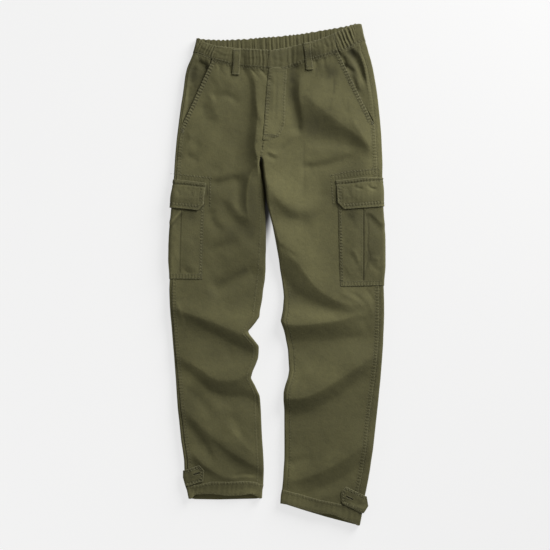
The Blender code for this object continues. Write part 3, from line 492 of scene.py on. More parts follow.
def gathers(x, y):
    down = y - FRONT_SEAM(x)
    z = np.zeros(x.shape)
    m = (down > -3) & (down < 30)
    xm, dm = x[m], np.maximum(down[m], 0)
    total = np.zeros(xm.shape)
    for at, slope, long, half, rise in GATHERS:
        off = xm - at - slope * dm
        total += DEEP * rise * 1e-3 * np.exp(-(off / (half * (1 + dm / 14))) ** 2) \
            * np.exp(-(dm / long) ** 2)
    z[m] = total * smooth((down[m] - .6) / 3.2)
    return z


WRAPPED = {"L": ((178, 210), (178, 281)), "R": ((175, 211), (175, 287))}


def held(side, y):
    """How far what is wrapped round the outer edge holds the leg up."""
    total = 0.0
    for a, b in WRAPPED[side]:
        beyond = np.maximum(np.maximum(a - y, y - b), 0)
        total = total + LAYER * (1 - smooth(beyond / 22))
    return total


def lift(side, x, y):
    """Height of the back's underside where other cloth lies under it."""
    o, i = edge(side, "outer", y), edge(side, "inner", y)
    wide = np.maximum(1.0, np.abs(i - o))
    inward = np.abs(x - o) / wide
    best = np.zeros(np.broadcast(x, y).shape)
    for a, b in WRAPPED[side]:
        beyond = np.maximum(np.maximum(a - y, y - b), 0)
        sideways = np.maximum(0, inward - .37) * wide
        best = best + LAYER * (1 - smooth(np.hypot(beyond, sideways) / 22))
    under = y - BACK_SEAM(x) - 15
    best = np.maximum(best, LAYER * (1 - smooth(under / 20)))
    return np.maximum(best, 0.0005 * smooth((y - 464) / 14))


def toward(run, length, least):
    """From least at an edge to 1 well inside it."""
    return 1 - (1 - least) * np.exp(-np.maximum(0, length - ROLL) / run)


def top(side, x, y, fine=True):
    """Outside of the front above the surface, metres."""
    x, y = np.broadcast_arrays(np.asarray(x, float), np.asarray(y, float))
    o, i = edge(side, "outer", y), edge(side, "inner", y)
    out = np.abs(x - o) * SQ
    below = smooth((y - CROTCH[1]) / 16)
    into = SQ * np.where(
        y > CROTCH[1],
        below * np.abs(i - x) + (1 - below) * np.abs(CROTCH[0] - x),
        np.hypot(x - CROTCH[0], y - CROTCH[1]))
    # a leg lies nearly level, and falls a little to its right edge
    low = .25 + .35 * smooth((y - 280) / 30)
    if side == "L":
        rise = toward(.07, out, .62) * toward(GENTLE, into, .62)
    else:
        rise = toward(.07, into, .62) * toward(GENTLE, out, low)
    up = held(side, y)
    fade = smooth(0.25 + np.minimum(out, into) / 0.008)
    # a leg's own folds stop short of the centre seam
    own = np.where(y < CROTCH[1] + 6, smooth(
        np.maximum(np.abs(x - centre_x(y)) / 12,
                   (y - CROTCH[1]) / 6)), 1.0)
    ridge = folds(("X",), x, y)
    if side == "L":
        ridge = ridge * (1 - smooth((y - 152) / 30))
    # the feet lie flatter
    rise = rise * (1 - .40 * smooth((y - 448) / 45))
    z = 2 * ROLL + up * np.exp(-out / 0.060) + CROWN * rise + ridge \
        + fade * (folds(("H",), x, y) + own * folds((side,), x, y))
    if fine:
        z = z + fade * (gathers(x, y)
                        + 0.00030 * noise(x, y, 13, 5)
                        + 0.00012 * noise(x, y, 5.5, 6))
    least = lift(side, x, y) + 0.0026
    return np.maximum(z, np.minimum(2 * ROLL + up, least))
# ------------------------------------------------------------------- pieces
def place(x, y, z):
    x, y, z = np.broadcast_arrays(x, y, z)
    return np.stack([(x - MID_X) * SQ, (MID_Y - y) * SQ, z], -1)


def crossing(line, row, count=30):
    """Where x = line(y) meets y = row(x)."""
    y = 150.0
    for _ in range(count):
        y = row(line(y))
    return line(y), y


def grid_between(a, b, across):
    """Rows from a to b, arrays of x, with this many columns."""
    s = np.linspace(0, 1, across)
    return a[:, None] + (b - a)[:, None] * s


def uneven(at, pitch, seed):
    """A row of soft ribs, unevenly spaced, from -1 to 1."""
    at = np.asarray(at, float)
    moved = at + 0.55 * pitch * noise(at, at * 0, pitch * 2.3, seed)
    size = 0.72 + 0.28 * noise(at, at * 0 + 9, pitch * 1.7, seed + 1)
    return size * np.sin(2 * math.pi * moved / pitch)


def ribbed(at, pitch, seed):
    """Ribs of two sizes over each other, so that no two are alike."""
    return .68 * uneven(at, pitch, seed) \
        + .52 * uneven(at + 3.7, pitch * 1.47, seed + 11)


def front_outer(side):
    """Outer edge of a front: the pocket's slant, then the outseam."""
    pick = np.maximum if side == "L" else np.minimum

    def line(y):
        return pick(POCKET_EDGE[side](y), side_x(side, y))
    return line


# ---- the two fronts
def front_rows(side, hip, leg):
    """The y of every row as a function of x."""
    rows = []
    for part in np.linspace(-.016, 1, hip)[:-1]:
        rows.append(lambda x, p=part: FRONT_SEAM(x) * (1 - p) + CROTCH[1] * p)
    for part in np.linspace(0, 1.006, leg):
        rows.append(lambda x, p=part:
                    CROTCH[1] + p * (HEM_SEAM[side](x) - CROTCH[1]))
    return rows


def seam_rise(side, x, y):
    """The front's turned edges stand up along the outseam and inseam."""
    a = np.abs(x - front_outer(side)(y))
    b = np.abs(x - leg_x(side, y))
    return 0.0006 * np.exp(-(a / 3.2) ** 2) \
        + 0.00012 * np.exp(-(b / 3.0) ** 2) * smooth((y - 285) / 10)


def skin(side, x, y):
    """Outside of the front, with its sewn edges."""
    return top(side, x, y) + seam_rise(side, x, y)


def front_panel(side, hip=121, leg=384, across=124):
    outer = front_outer(side)
    a, b = [], []
    rows = front_rows(side, hip, leg)
    for k, row in enumerate(rows):
        a.append(crossing(outer, row)[0])
        if k < hip - 1:
            b.append(crossing(centre_x, row)[0])
        elif k == hip - 1:
            b.append(CROTCH[0])
        else:
            b.append(crossing(lambda y: leg_x(side, y), row)[0])
    x = grid_between(np.array(a, float), np.array(b, float), across)
    if side == "L":      # the left front runs on under the fly
        part = np.linspace(0, 1, hip)[:, None]
        s = np.linspace(0, 1, across) ** 6
        x[:hip] += 1.4 * s * smooth((0.97 - part) / .1)
    y = np.array([row(x[k]) for k, row in enumerate(rows)])
    z = skin(side, x, y)
    if side == "L":
        under = smooth((x - centre_x(y) + 1.2) / 1.0) * (y < 150)
        z = z - 0.0010 * under
    return dict(name="front_panel_" + side, grid=place(x, y, z), wall=CLOTH,
                mat="twill", plan=(x, y))


def full(turn):
    """How far a pressed fold stands out, round it from its top."""
    return np.maximum(np.cos(turn), 0) ** .5


# ---- the two backs
def back_rise(side, x, y):
    """Soft creases of the underside, which stand up off the surface."""
    o, i = edge(side, "outer", y), edge(side, "inner", y)
    inside = np.minimum(np.abs(x - o), np.abs(x - i)) * SQ
    fade = smooth((inside - ROLL) / 0.03)
    z = np.maximum(0, folds(("B" + side, "B"), x, y))
    z = z + 0.0006 * np.maximum(0, noise(x, y, 17, 31) - .15)
    return fade * z


def back_panel(side, hip=91, leg=288):
    sg = SIDE[side]
    strip, arc, flat = 7, 13, 62
    turn = np.radians(90 - 180 * np.linspace(0, 1, arc))[None]
    ones = np.ones((1, arc))

    def seam_cut(away, deep=0.0011):
        """How deep the back's edge goes under the front's, beside a seam."""
        return deep * smooth(1 - (away - .1) / 2.4)

    def roll(which, y, x, cut):
        """The folded edge, from its top to its underside."""
        zt = top(side, x, y) + 0.0004 - cut
        zb = lift(side, x, y)
        face = sg if which == "outer" else -sg
        inset = R_SQ * (1 - full(turn))
        meet, k = 0.0, 0.0
        if which == "inner":    # below, the two legs touch near the crotch
            apart = edge("R", which, y) - edge("L", which, y)
            meet = np.maximum(apart / 2 - .06, 0)
            k = smooth(-turn / .5) * (1 - smooth((y - 196) / 14))
        xr = edge(side, which, y) - face * (inset * (1 - k) - meet * k)
        return xr, y * ones, zb + (zt - zb) * (1 + np.sin(turn)) / 2

    def band(rows, is_leg):
        """The strip beside the outseam and the outer folded edge."""
        at = [crossing(lambda y: side_x(side, y), row) for row in rows]
        x_s = np.array([float(p[0]) for p in at])[:, None]
        y_s = np.array([float(p[1]) for p in at])[:, None]
        xo = edge(side, "outer", y_s) - sg * R_SQ
        s = np.linspace(0, 1, strip)[None]
        xs = x_s - sg * 1.3 + (xo - x_s + sg * 1.3) * s
        ys = y_s + 0 * xs
        if is_leg:
            ys = np.array([row(xs[k]) for k, row in enumerate(rows)])
            ys = ys + (y_s - ys[:, -1:]) * s
        cut = seam_cut((xs - x_s) * sg, 0.0004 + 0.0005 * smooth(
            (y_s - 150) / 60))
        zs = top(side, xs, ys) + 0.0004 - cut
        xr, yr, zr = roll("outer", y_s, xo, cut[:, -1:])
        return (xs, ys, zs), (xr, yr, zr), xo, y_s

    rows = front_rows(side, hip, leg)
    parts = np.linspace(-.016, 1, hip)[:-1]
    (xs, ys, zs), (xr, yr, zr), xo, y_s = band(rows[:hip - 1], False)
    low = [lambda x, p=p: BACK_SEAM(x) * (1 - p) + CROTCH[1] * p
           for p in parts]
    xc = np.array([float(crossing(centre_x, row)[0])
                   for row in low])[:, None] + sg * .07
    s = np.linspace(0, 1, flat + arc + strip - 2)[None]
    xf = xo + (xc - xo) * s
    yf = np.array([row(xf[k]) for k, row in enumerate(low)])
    yf = yf + (y_s - yf[:, :1]) * (1 - s) ** 6
    zf = lift(side, xf, yf) + back_rise(side, xf, yf)
    hips = [np.concatenate([p, q[:, 1:], r[:, 1:]], 1) for p, q, r in
            ((xs, xr, xf), (ys, yr, yf), (zs, zr, zf))]

    (xs, ys, zs), (xr, yr, zr), xo, y_s = band(rows[hip - 1:], True)
    at = [crossing(lambda y: leg_x(side, y), row) for row in rows[hip - 1:]]
    x_l = np.array([float(p[0]) for p in at])[:, None]
    y_l = np.array([float(p[1]) for p in at])[:, None]
    xi = edge(side, "inner", y_l) + sg * R_SQ
    s = np.linspace(0, 1, flat)[None]
    _, _, (x_end, _, _) = None, None, roll("inner", y_l, xi, 0.0)
    xf = xo + (x_end[:, -1:] - xo) * s
    yf = np.array([row(xf[k]) for k, row in enumerate(rows[hip - 1:])])
    yf = yf + (y_s - yf[:, :1]) * (1 - s) ** 2
    zf = lift(side, xf, yf) + back_rise(side, xf, yf)
    y_i = yf[:, -1:]
    s = np.linspace(0, 1, strip)[None]
    xs2 = xi + (x_l + sg * 1.3 - xi) * s
    ys2 = np.array([row(xs2[k]) for k, row in enumerate(rows[hip - 1:])])
    ys2 = ys2 + (y_i - ys2[:, :1]) * (1 - s)
    cut = seam_cut((x_l - xs2) * sg, 0.00035 + 0.00025 * smooth(
        (y_l - 225) / 40))
    hide = 1 - .35 * smooth((ys2 - 278) / 24)
    cut = cut * (1 - hide) + 0.00042 * hide
    zs2 = top(side, xs2, ys2) + 0.0004 - cut
    xr2, yr2, zr2 = roll("inner", y_i, xi, cut[:, :1])
    xr2, yr2, zr2 = xr2[:, ::-1], yr2[:, ::-1], zr2[:, ::-1]
    # the four seams meet at the crotch
    xs2[0] = xr2[0, -1] + (xs2[0] - xs2[0, 0]) * .02
    zs2[0] = zr2[0, -1] - 0.0006
    legs = [np.concatenate([p, q[:, 1:], r[:, 1:], t[:, 1:], u[:, 1:]], 1)
            for p, q, r, t, u in ((xs, xr, xf, xr2, xs2),
                                  (ys, yr, yf, yr2, ys2),
                                  (zs, zr, zf, zr2, zs2))]
    x, y, z = [np.concatenate(p, 0) for p in zip(hips, legs)]
    return dict(name="back_panel_" + side, grid=place(x, y, z), wall=CLOTH,
                mat="twill", plan=(x, y), arc=True)


# ---- cloth seen in the hand pockets
def pocket_facing(side, tall=61, across=28):
    sg = SIDE[side]
    ys = np.linspace(0, 1, tall)
    foot = POCKET_FOOT[side] + (4 if side == "L" else 3)
    x0, x1, yy = [], [], []
    for t in ys:
        def row(x, t=t):
            return FRONT_SEAM(x) * (1 - t) + foot * t - .6 * (1 - t)
        a, _ = crossing(lambda y: side_x(side, y) - sg * .15, row)
        b, _ = crossing(POCKET_EDGE[side], row)
        x0.append(float(a))
        x1.append(float(b) - sg * (5.0 - 2.6 * t))
        yy.append(row)
    x = grid_between(np.array(x0), np.array(x1), across)
    y = np.array([row(x[k]) for k, row in enumerate(yy)])
    away = np.abs(x - side_x(side, y))
    below = y - FRONT_SEAM(x)
    hang = 0.0028 * smooth((below - (3.2 if side == "L" else 1.0)) / 5.5)
    slope = 5.0 + (6.0 * smooth((y - 66) / 22) if side == "R" else 0)
    z = top(side, x, y) + 0.0006 - hang * smooth(away / slope) \
        + folds(("P" + side,), x, y) * smooth(away / 3.0)
    lim = np.abs(x - POCKET_EDGE[side](y)) * np.where(
        (x - POCKET_EDGE[side](y)) * sg > 0, 1, -1)
    deep = 0.0021 - 0.0007 * smooth((y - POCKET_FOOT[side] + 20) / 12)
    z = np.where(lim < 1.0, np.minimum(z, top(side, x, y) - deep), z)
    return dict(name="pocket_facing_" + side, grid=place(x, y, z), wall=CLOTH,
                mat="trim", plan=(x, y))


# ---- fly placket
FLY_LINE = curve("60,287.3 78,286.6 98,285.3 117,285.2 124,284.6 129,283.2 "
                 "133,281.0 136.5,277.8 138.5,274.8 140,272.5", 0.8)


def fly_placket(tall=73, across=31):
    t = np.linspace(-.016, .815, tall)
    x0, x1, rows = [], [], []
    for p in t:
        def row(x, p=p):
            return FRONT_SEAM(x) * (1 - p) + CROTCH[1] * p
        rows.append(row)
        a, _ = crossing(centre_x, row)
        b, _ = crossing(FLY_LINE, row)
        x0.append(float(a) - 0.55)
        x1.append(float(b))
    x = grid_between(np.array(x0), np.array(x1), across)
    y = np.array([row(x[k]) for k, row in enumerate(rows)])
    s = np.linspace(0, 1, across)
    z = skin("R", np.maximum(x, centre_x(y)), y) \
        + 0.0011 - 0.0009 * smooth((s - .35) / .6) \
        + 0.00022 * uneven(y, 6.5, 51) * np.exp(-((x - FLY_LINE(y)) / 4) ** 2) \
        + 0.00030 * uneven(y + .3 * x, 8.5, 57) * np.exp(
            -((x - centre_x(y) - 2) / 4) ** 2)
    return dict(name="fly_placket", grid=place(x, y, z), wall=CLOTH,
                mat="trim", plan=(x, y))


# ---- waistband
BAND_AT = {"L": (214.5, 210.3), "R": (333.8, 337.2)}    # side seams, top, foot
FLY_AT = (269.9, 268.2)
# Gathers of the band's front: from, to, pitch, depth in millimetres, lean.
BAND_GATHERS = [
    (190, 214, 2.9, 1.35, -.55), (214, 233, 4.6, .30, -.3),
    (243, 270, 3.6, .72, .05), (270, 287, 6.5, .24, .1),
    (286, 304, 3.9, .48, .0), (310, 335, 3.8, .46, .2),
    (335, 354, 3.0, 1.0, .65), (354, 368, 4.0, .22, .2),
]
# Creases along the band: x, part of the band's height, half width, half
# height, depth in millimetres, slope.
BAND_DENTS = [
    (223, .40, 7, 2.0, .55, .10), (225, .68, 6, 1.5, .45, .12),
    (219, .80, 4, 1.4, .40, .2), (244, .50, 3, 3.0, .25, -.3),
    (277, .45, 5, 2.0, .45, -.25), (281, .72, 5, 1.6, .40, .25),
    (275, .25, 3, 1.5, .30, .4), (284, .30, 3, 2.5, .30, -.5),
    (318, .55, 6, 1.8, .25, .1), (241.2, .66, 1.4, 7.0, 1.0, .0),
    (314, .65, 3, 1.6, .5, -.9), (319, .35, 3, 1.6, .5, .8),
    (324, .60, 3.5, 1.5, .5, -.8), (329, .40, 3, 1.5, .45, .7),
    (333, .62, 3, 1.6, .4, -.6), (321, .82, 4, 1.3, .4, .3),
    (291, .70, 2.5, 2.5, .35, -.5), (297, .40, 3, 2.0, .35, .5),
    (341, .35, 2.5, 1.6, .5, .8), (349, .65, 2.5, 1.8, .5, -.7),
    (199, .62, 3, 1.8, .5, -.8), (207, .35, 3, 1.8, .5, .6),
    (217, .55, 5, 1.5, .55, -.3), (229, .50, 3, 1.6, .45, .35),
    (255, .45, 6, 1.6, .30, .05), (262, .75, 5, 1.4, .30, .1),
    (272, .60, 2, 3.5, .45, .0), (279, .12, 5, 1.2, .45, .1),
    (296, .50, 5, 1.5, .30, .1), (327, .40, 5, 1.4, .30, -.2),
    (204, .45, 5, 1.4, .50, .15), (345, .45, 6, 1.5, .60, -.3),
]


def band_relief(x, up, lean_from=0.0):
    """Gathers and creases of the band's front, metres; up 0 foot, 1 top."""
    z = np.zeros(np.broadcast(x, up).shape)
    for k, (a, b, pitch, deep, lean) in enumerate(BAND_GATHERS):
        share = smooth((x - a) / 3.0 + .5) * smooth((b - x) / 3.0 + .5)
        along = x + lean * 12 * (up - .5) \
            + 1.0 * noise(x, 19 * up, 8, 41 + k)
        deep = deep * (1 + .45 * noise(x, 19 * up, 6.5, 47))
        z = z + 1e-3 * deep * share * ribbed(along, pitch, 70 + 3 * k) \
            * (0.55 + 0.45 * np.sin(math.pi * np.clip(up * .9 + .02, 0, 1)))
    for at, high, wide, tall, deep, slope in BAND_DENTS:
        d = (up - high) * 19 - slope * (x - at)
        z = z - deep * 1e-3 * np.exp(-((x - at) / wide) ** 2
                                     - (d / tall) ** 2)
    return z


def band_profile(up):
    """The band's own thickness: pressed at the stitched foot and top."""
    return 0.0011 + 0.0010 * np.exp(-((up - .58) / .30) ** 2) \
        - 0.0004 * np.exp(-((up - .14) / .035) ** 2) \
        - 0.0008 * np.exp(-((up - .0) / .07) ** 2)


def band_y(x, up):
    a, b = FRONT_SEAM(x), FRONT_TOP(x)
    scallop = .35 * uneven(x, 4.2, 91) * smooth((up - .6) / .4)
    return a + (b - a) * up + scallop


def band_skin(x, y):
    """Outside of the band's front at plan points."""
    a, b = FRONT_SEAM(x), FRONT_TOP(x)
    up = (y - a) / (b - a)
    side = np.where(x < 268.5, 0, 1)
    base = np.where(side == 0, top("L", x, np.maximum(y, a), False),
                    top("R", x, np.maximum(y, a), False))
    return base + band_profile(up) + band_relief(x, up)


def band_front(side):
    up = np.linspace(0, 1, 25)
    n = 139 if side == "L" else 160
    s = np.linspace(0, 1, n)
    if side == "L":
        top_x, foot_x = (BAND_AT["L"][0], FLY_AT[0] - .05), \
            (BAND_AT["L"][1], FLY_AT[1] - .05)
    else:
        top_x, foot_x = (FLY_AT[0] - .6, BAND_AT["R"][0]), \
            (FLY_AT[1] - .6, BAND_AT["R"][1])
    a = foot_x[0] + (top_x[0] - foot_x[0]) * up
    b = foot_x[1] + (top_x[1] - foot_x[1]) * up
    x = a[:, None] + (b - a)[:, None] * s
    y = band_y(x, up[:, None])
    z = band_skin(x, y)
    if side == "R":      # the fly end laps over the left one
        z = z + 0.0009 * np.exp(-((x - a[:, None]) / 5) ** 2)
    return dict(name="waistband_front_" + side, grid=place(x, y, z)[::-1],
                wall=0.0021, mat="band", plan=(x[::-1], y[::-1]), coarse=2)


def back_band():
    """The elastic stretch: round both folded ends and under the mouth."""
    rows = np.linspace(1, 0, 25)
    X, Y, Z, S = [], [], [], []
    arc = 15
    for up in rows:
        xs, ys, zs = [], [], []
        for side in ("L", "R"):
            seam = BAND_AT[side][1] + (BAND_AT[side][0] - BAND_AT[side][1]) * up
            seam += SIDE[side] * .14
            foot = 53.0 if side == "L" else 41.6
            head = 38.3 if side == "L" else 23.9
            yo = foot + (head - foot) * up
            o = float(edge(side, "outer", yo))
            xo = o - SIDE[side] * (R_SQ + .5)
            x = np.linspace(seam, xo, 60 if side == "L" else 70)
            y = band_y(x, up)
            y = y + (yo - y[-1]) * smooth((np.abs(x - seam)
                                           / abs(xo - seam) - .55) / .45)
            z = top(side, x, np.maximum(y, FRONT_SEAM(x)), False) \
                + band_profile(up) + band_relief(x, up)
            turn = np.radians(90 - 180 * np.linspace(0, 1, arc))[1:-1]
            zt, zb = float(z[-1]), 0.0016
            xr = xo + SIDE[side] * (R_SQ + .8) * full(turn)
            zr = zb + (zt - zb) * (1 + np.sin(turn)) / 2
            xr = xr + SIDE[side] * .22 * uneven(zr * 1000, 3.6, 33)
            if side == "L":
                xs += [x, xr]
                ys += [y, np.full(arc - 2, yo)]
                zs += [z, zr]
                left = (xo, yo)
            else:
                under = np.linspace(left[0], xo, 330)
                a, b = BACK_SEAM(under), BACK_TOP(under)
                yu = a + (b - a) * up
                s = (under - left[0]) / (xo - left[0])
                yu = yu + (left[1] - yu[0]) * smooth(1 - s / .05) \
                    + (yo - yu[-1]) * smooth((s - .95) / .05)
                yu = yu + .55 * uneven(under, 5.0, 95) * smooth(
                    (up - .55) / .45)
                rib = .55 * uneven(under + 1.6 * (up - .5), 5.3, 95) \
                    + .50 * uneven(under + .8 * up, 3.2, 98) \
                    + .25 * uneven(under - 2.0 * up, 8.1, 93)
                rib = rib * (.72 + .28 * smooth((under - 225) / 40)) \
                    + .18 * noise(under, 19 * up, 3.4, 96)
                zu = 0.0016 + 0.00088 * rib \
                    * (.5 + .5 * math.sin(math.pi * min(1, up * .95))) \
                    + 0.0012
                zu = zu - 0.0012 * (smooth(1 - s / .02)
                                     + smooth((s - .98) / .02))
                xs += [under, xr[::-1], x[::-1]]
                ys += [yu, np.full(arc - 2, yo), y[::-1]]
                zs += [zu, zr[::-1], z[::-1]]
        X.append(np.concatenate(xs))
        Y.append(np.concatenate(ys))
        Z.append(np.concatenate(zs))
    X, Y, Z = np.array(X), np.array(Y), np.array(Z)
    return dict(name="waistband_back", grid=place(X, Y, Z), wall=0.0021,
                mat="band", plan=(X, Y), coarse=1, arc=True)


# ---- belt loops
LOOP_WIDE = 7.2
LOOPS = {   # x at top and foot, y at top and foot, front or underside
    "belt_loop_front_L": ((237.0, 235.7), (49.6, 75.2), 1),
    "belt_loop_front_R": ((306.6, 309.8), (43.2, 70.4), 1),
    "belt_loop_back_L": ((224.0, 222.5), (42.0, 67.0), -1),
    "belt_loop_back_C": ((281.0, 279.5), (38.5, 63.5), -1),
    "belt_loop_back_R": ((336.0, 337.5), (30.0, 55.0), -1),
}


def loop_under(x, y):
    """What a belt loop lies on."""
    a = FRONT_SEAM(x)
    up = (y - a) / (FRONT_TOP(x) - a)
    side = "L" if x.mean() < 268 else "R"
    base = top(side, x, np.maximum(y, a), False)
    return np.where(up > -.02, base + band_profile(np.maximum(up, 0)),
                    skin(side, x, y) + 0.0002)


def belt_loop(name):
    xs, ys, face = LOOPS[name]
    t = np.linspace(0, 1, 43)[:, None]
    s = np.linspace(-.5, .5, 16)[None]
    wide = LOOP_WIDE * (1 + .05 * np.cos(7 * t))
    x = xs[0] + (xs[1] - xs[0]) * t + s * wide
    y = ys[0] + (ys[1] - ys[0]) * t + s * (xs[0] - xs[1]) / 26 * wide * .5
    tube = 0.00055 * (1 - (2 * np.abs(s)) ** 4)
    if face > 0:
        low = loop_under(x, y)
        line = low.mean(1, keepdims=True)
        chord = line[0] + (line[-1] - line[0]) * t
        arch = np.maximum(line, line + .6 * (chord - line)) \
            + 0.0006 * np.sin(math.pi * t) ** .6
        z = arch + 0.0013 + tube + 0.0008 * smooth((t - .93) / .05) \
            + 0.0004 * smooth((.06 - t) / .04) \
            - 0.0006 * smooth((t - .985) / .012)
        z = np.maximum(z, low + 0.0014)
        return dict(name=name, grid=place(x, y, z), wall=0.0013, mat="trim",
                    plan=(x, y), coarse=1)
    z = -tube * .8 + 0.00090 + 0 * x
    grid = place(x, y, z)
    return dict(name=name, grid=grid, wall=0.0013, mat="trim", plan=(x, y),
                flip=True, coarse=1)


# ---- cargo pockets: x of the inner edge, and top and foot at the inner and
# outer edge; then the pleat's x and the foot band's depth.
QUARTER = math.pi / 2 * R_SQ


def wrap(side, y, u, off):
    """A place round the folded outer edge, off metres out of the leg.

    u is squares from the edge, plus on the front and minus underneath.
    """
    sg = SIDE[side]
    y, u, off = np.broadcast_arrays(y, u, off)
    o = edge(side, "outer", y)
    xo = o - sg * R_SQ
    turn = np.clip(u / R_SQ, -math.pi / 2, math.pi / 2)
    zt = top(side, xo, y)
    zb = lift(side, xo, y)
    mid = (zt + zb) / 2
    half = (zt - zb) / 2
    xr = xo + sg * (R_SQ + off / SQ) * full(turn)
    under = np.minimum(off, np.maximum(zb - 0.00008, 0))
    zr = mid + (half + np.where(u > 0, off, under)) * np.sin(turn)
    xf = xo - sg * (np.abs(u) - QUARTER)
    room = lift(side, xf, y)
    zf = np.where(u > 0, top(side, xf, y) + off,
                  room - np.minimum(off, np.maximum(room - 0.00008, 0)))
    far = np.abs(u) > QUARTER
    return np.where(far, xf, xr), np.where(far, zf, zr)


CARGO = {
    "L": dict(edge=curve("175,206.3 188,205.5 200,205.1 212,204.4 230,203.8 "
                         "250,203.2 280,202.4"),
              head=(179.8, 182.6), foot=(279.4, 279.0), back=30.0,
              pleat=curve("205,181.7 212,181.4 230,180.9 250,180.4 269,180"),
              band=5.0),
    "R": dict(edge=curve("175,335 188,336.2 200,337.2 212,338.1 230,338.5 "
                         "250,339.0 286,339.9"),
              head=(179.2, 181.5), foot=(286.6, 285.8), back=30.0,
              pleat=curve("205,363.6 211,363.5 245,363.6 280,363.4"),
              band=5.0),
}


def pocket_level(side, x, y, u):
    """How far a cargo pocket stands off the leg, metres."""
    sg = SIDE[side]
    c = CARGO[side]
    inner = np.abs(x - c["edge"](y))
    foot = c["foot"][0]
    down = foot - y
    level = 0.0005 + 0.0006 * smooth((inner - .3) / 3) \
        + 0.0036 * (.12 + .88 * smooth((inner - 1.0) / 17)) \
        * smooth(down / 22) * (.05 + .95 * smooth((y - 200) / 42))
    # the pleat: a folded step along its line
    p = (x - c["pleat"](y)) * sg
    step = smooth((down - 4.5) / 3) * smooth((y - 206) / 4)
    sunk = 0.0008 if side == "R" else 0.0003
    q = -p if side == "R" else p      # the side that lies under the fold
    level = level - step * (
        sunk * smooth((q + .4) / .7) * np.exp(-np.maximum(q, 0) / 4.0)
        + 0.00045 * np.exp(-((p + .1) / .45) ** 2))
    level = level + folds(("C" + side,), x, y) * smooth(inner / 4)
    level = np.maximum(level, 0.0005)
    back = smooth((-u - 1) / 7)
    return level * (1 - back) + 0.0015 * back


def cargo_pocket(side, tall=121, across=120):
    sg = SIDE[side]
    c = CARGO[side]
    t = np.linspace(0, 1, tall)[:, None]
    y0 = 186.0 + 0 * t
    ymid = y0 + (c["foot"][0] - y0) * t
    o = edge(side, "outer", ymid)
    reach = np.abs(o - sg * R_SQ - c["edge"](ymid)) + QUARTER
    s = np.linspace(0, 1, across)[None]
    u = reach + (-c["back"] - reach) * s
    y = ymid + (c["foot"][1] - c["foot"][0]) * t * smooth(s * 1.6)
    xg, _ = wrap(side, y, u, 0 * u)
    plan_x = np.where(u > -QUARTER, xg, o)
    off = pocket_level(side, np.where(u > 0, plan_x, o), y, u)
    x, z = wrap(side, y, u, off)
    return dict(name="cargo_pocket_" + side, grid=place(x, y, z), wall=CLOTH,
                mat="trim", plan=(x, y), arc=True)


# ---- flaps: header strip, then the flap itself with a cut corner
FLAP = {
    "L": dict(head=curve("160,180.3 174,179.5 186,180.5 205.6,183", .6),
              foot=curve("160,207.0 168.8,207.2 171.6,207.7 188,209.3 "
                         "198.2,210.4 203.6,204.6 206,202", .35),
              join=curve("160,183.6 173.3,184 188,185 205.3,187.2", .6),
              edge=curve("176,206.4 187,206.2 188.6,205.3 201.6,203.95 "
                         "210,203.4", .4)),
    "R": dict(head=curve("334.9,180.7 347.7,179.3 364.9,177.1 382,177.9 "
                         "395,178.5", .6),
              foot=curve("334,199 337.4,202.2 344,209.3 360,208.2 "
                         "383.4,206.4 395,206", .35),
              join=curve("336.3,184.3 353.4,183 367.7,180.7 382,180 395,180",
                         .6),
              edge=curve("176,334.8 184,335.6 186,336.2 202,337.5 210,338",
                         .4)),
}


def cargo_flap(side, tall=61, across=74):
    sg = SIDE[side]
    f = FLAP[side]
    t = np.linspace(0, 1, tall)[:, None]
    s = np.linspace(0, 1, across)[None]
    back = CARGO[side]["back"] + 1.0
    # go round from the inner edge; find y from the plan x of each column
    y = 180 + 28 * t + 0 * s
    for _ in range(6):
        o = edge(side, "outer", y)
        reach = np.abs(o - sg * R_SQ - f["edge"](y)) + QUARTER
        u = reach + (-back - reach) * s
        xg, _ = wrap(side, y, u, 0 * u)
        px = np.where(u > 0, xg, 2 * (o - sg * 3) - xg)
        px = np.where(u > 0, xg, o)
        y = f["head"](px) + (f["foot"](px) - f["head"](px)) * t
    join = f["join"](px)
    down = y - join
    foot = f["foot"](px) - y
    inner = np.abs(px - f["edge"](y))
    under = pocket_level(side, np.where(u > 0, px, o), np.maximum(y, 192), u)
    level = 0.0017 + 0.0005 * np.where(
        down < 0, bump((down + 2.0) / 2.4), 0) \
        + 0.00022 * uneven(px, 5.0, 61) * smooth((down + 5) / 4)
    level = level - 0.0005 * np.exp(-((down - .2) / .7) ** 2)
    body = smooth((down - .2) / 7.5)
    level = level + 0.0004 * smooth((down - .8) / 1.6) \
        + 0.00045 * uneven(px + .4 * down, 6.2, 63) \
        * np.exp(-((down - 3.2) / 2.6) ** 2) \
        + body * (np.maximum(under - 0.0010, 0)
                  + (0.0022 if side == "L" else 0.0012)
                  * smooth(down / 14))
    corner = np.exp(-(np.minimum(inner, 20) / 7) ** 2) \
        * np.exp(-(np.maximum(foot, 0) / 7) ** 2)
    level = level + 0.0006 * corner * body
    for at_foot, at_rim in ((2.7, 2.3), (5.1, 4.6)):
        groove = np.maximum(np.exp(-((foot - at_foot) / .6) ** 2),
                            np.exp(-((inner - at_rim) / .6) ** 2))
        level = level - 0.0003 * groove * body
    level = level + folds(("F" + side,), px, y) * body
    back = smooth((-u - 1) / 7)
    level = level * (1 - back) + 0.0032 * back
    x, z = wrap(side, y, u, level)
    return dict(name="cargo_flap_" + side, grid=place(x, y, z), wall=0.0014,
                mat="trim", plan=(px, y), arc=True)


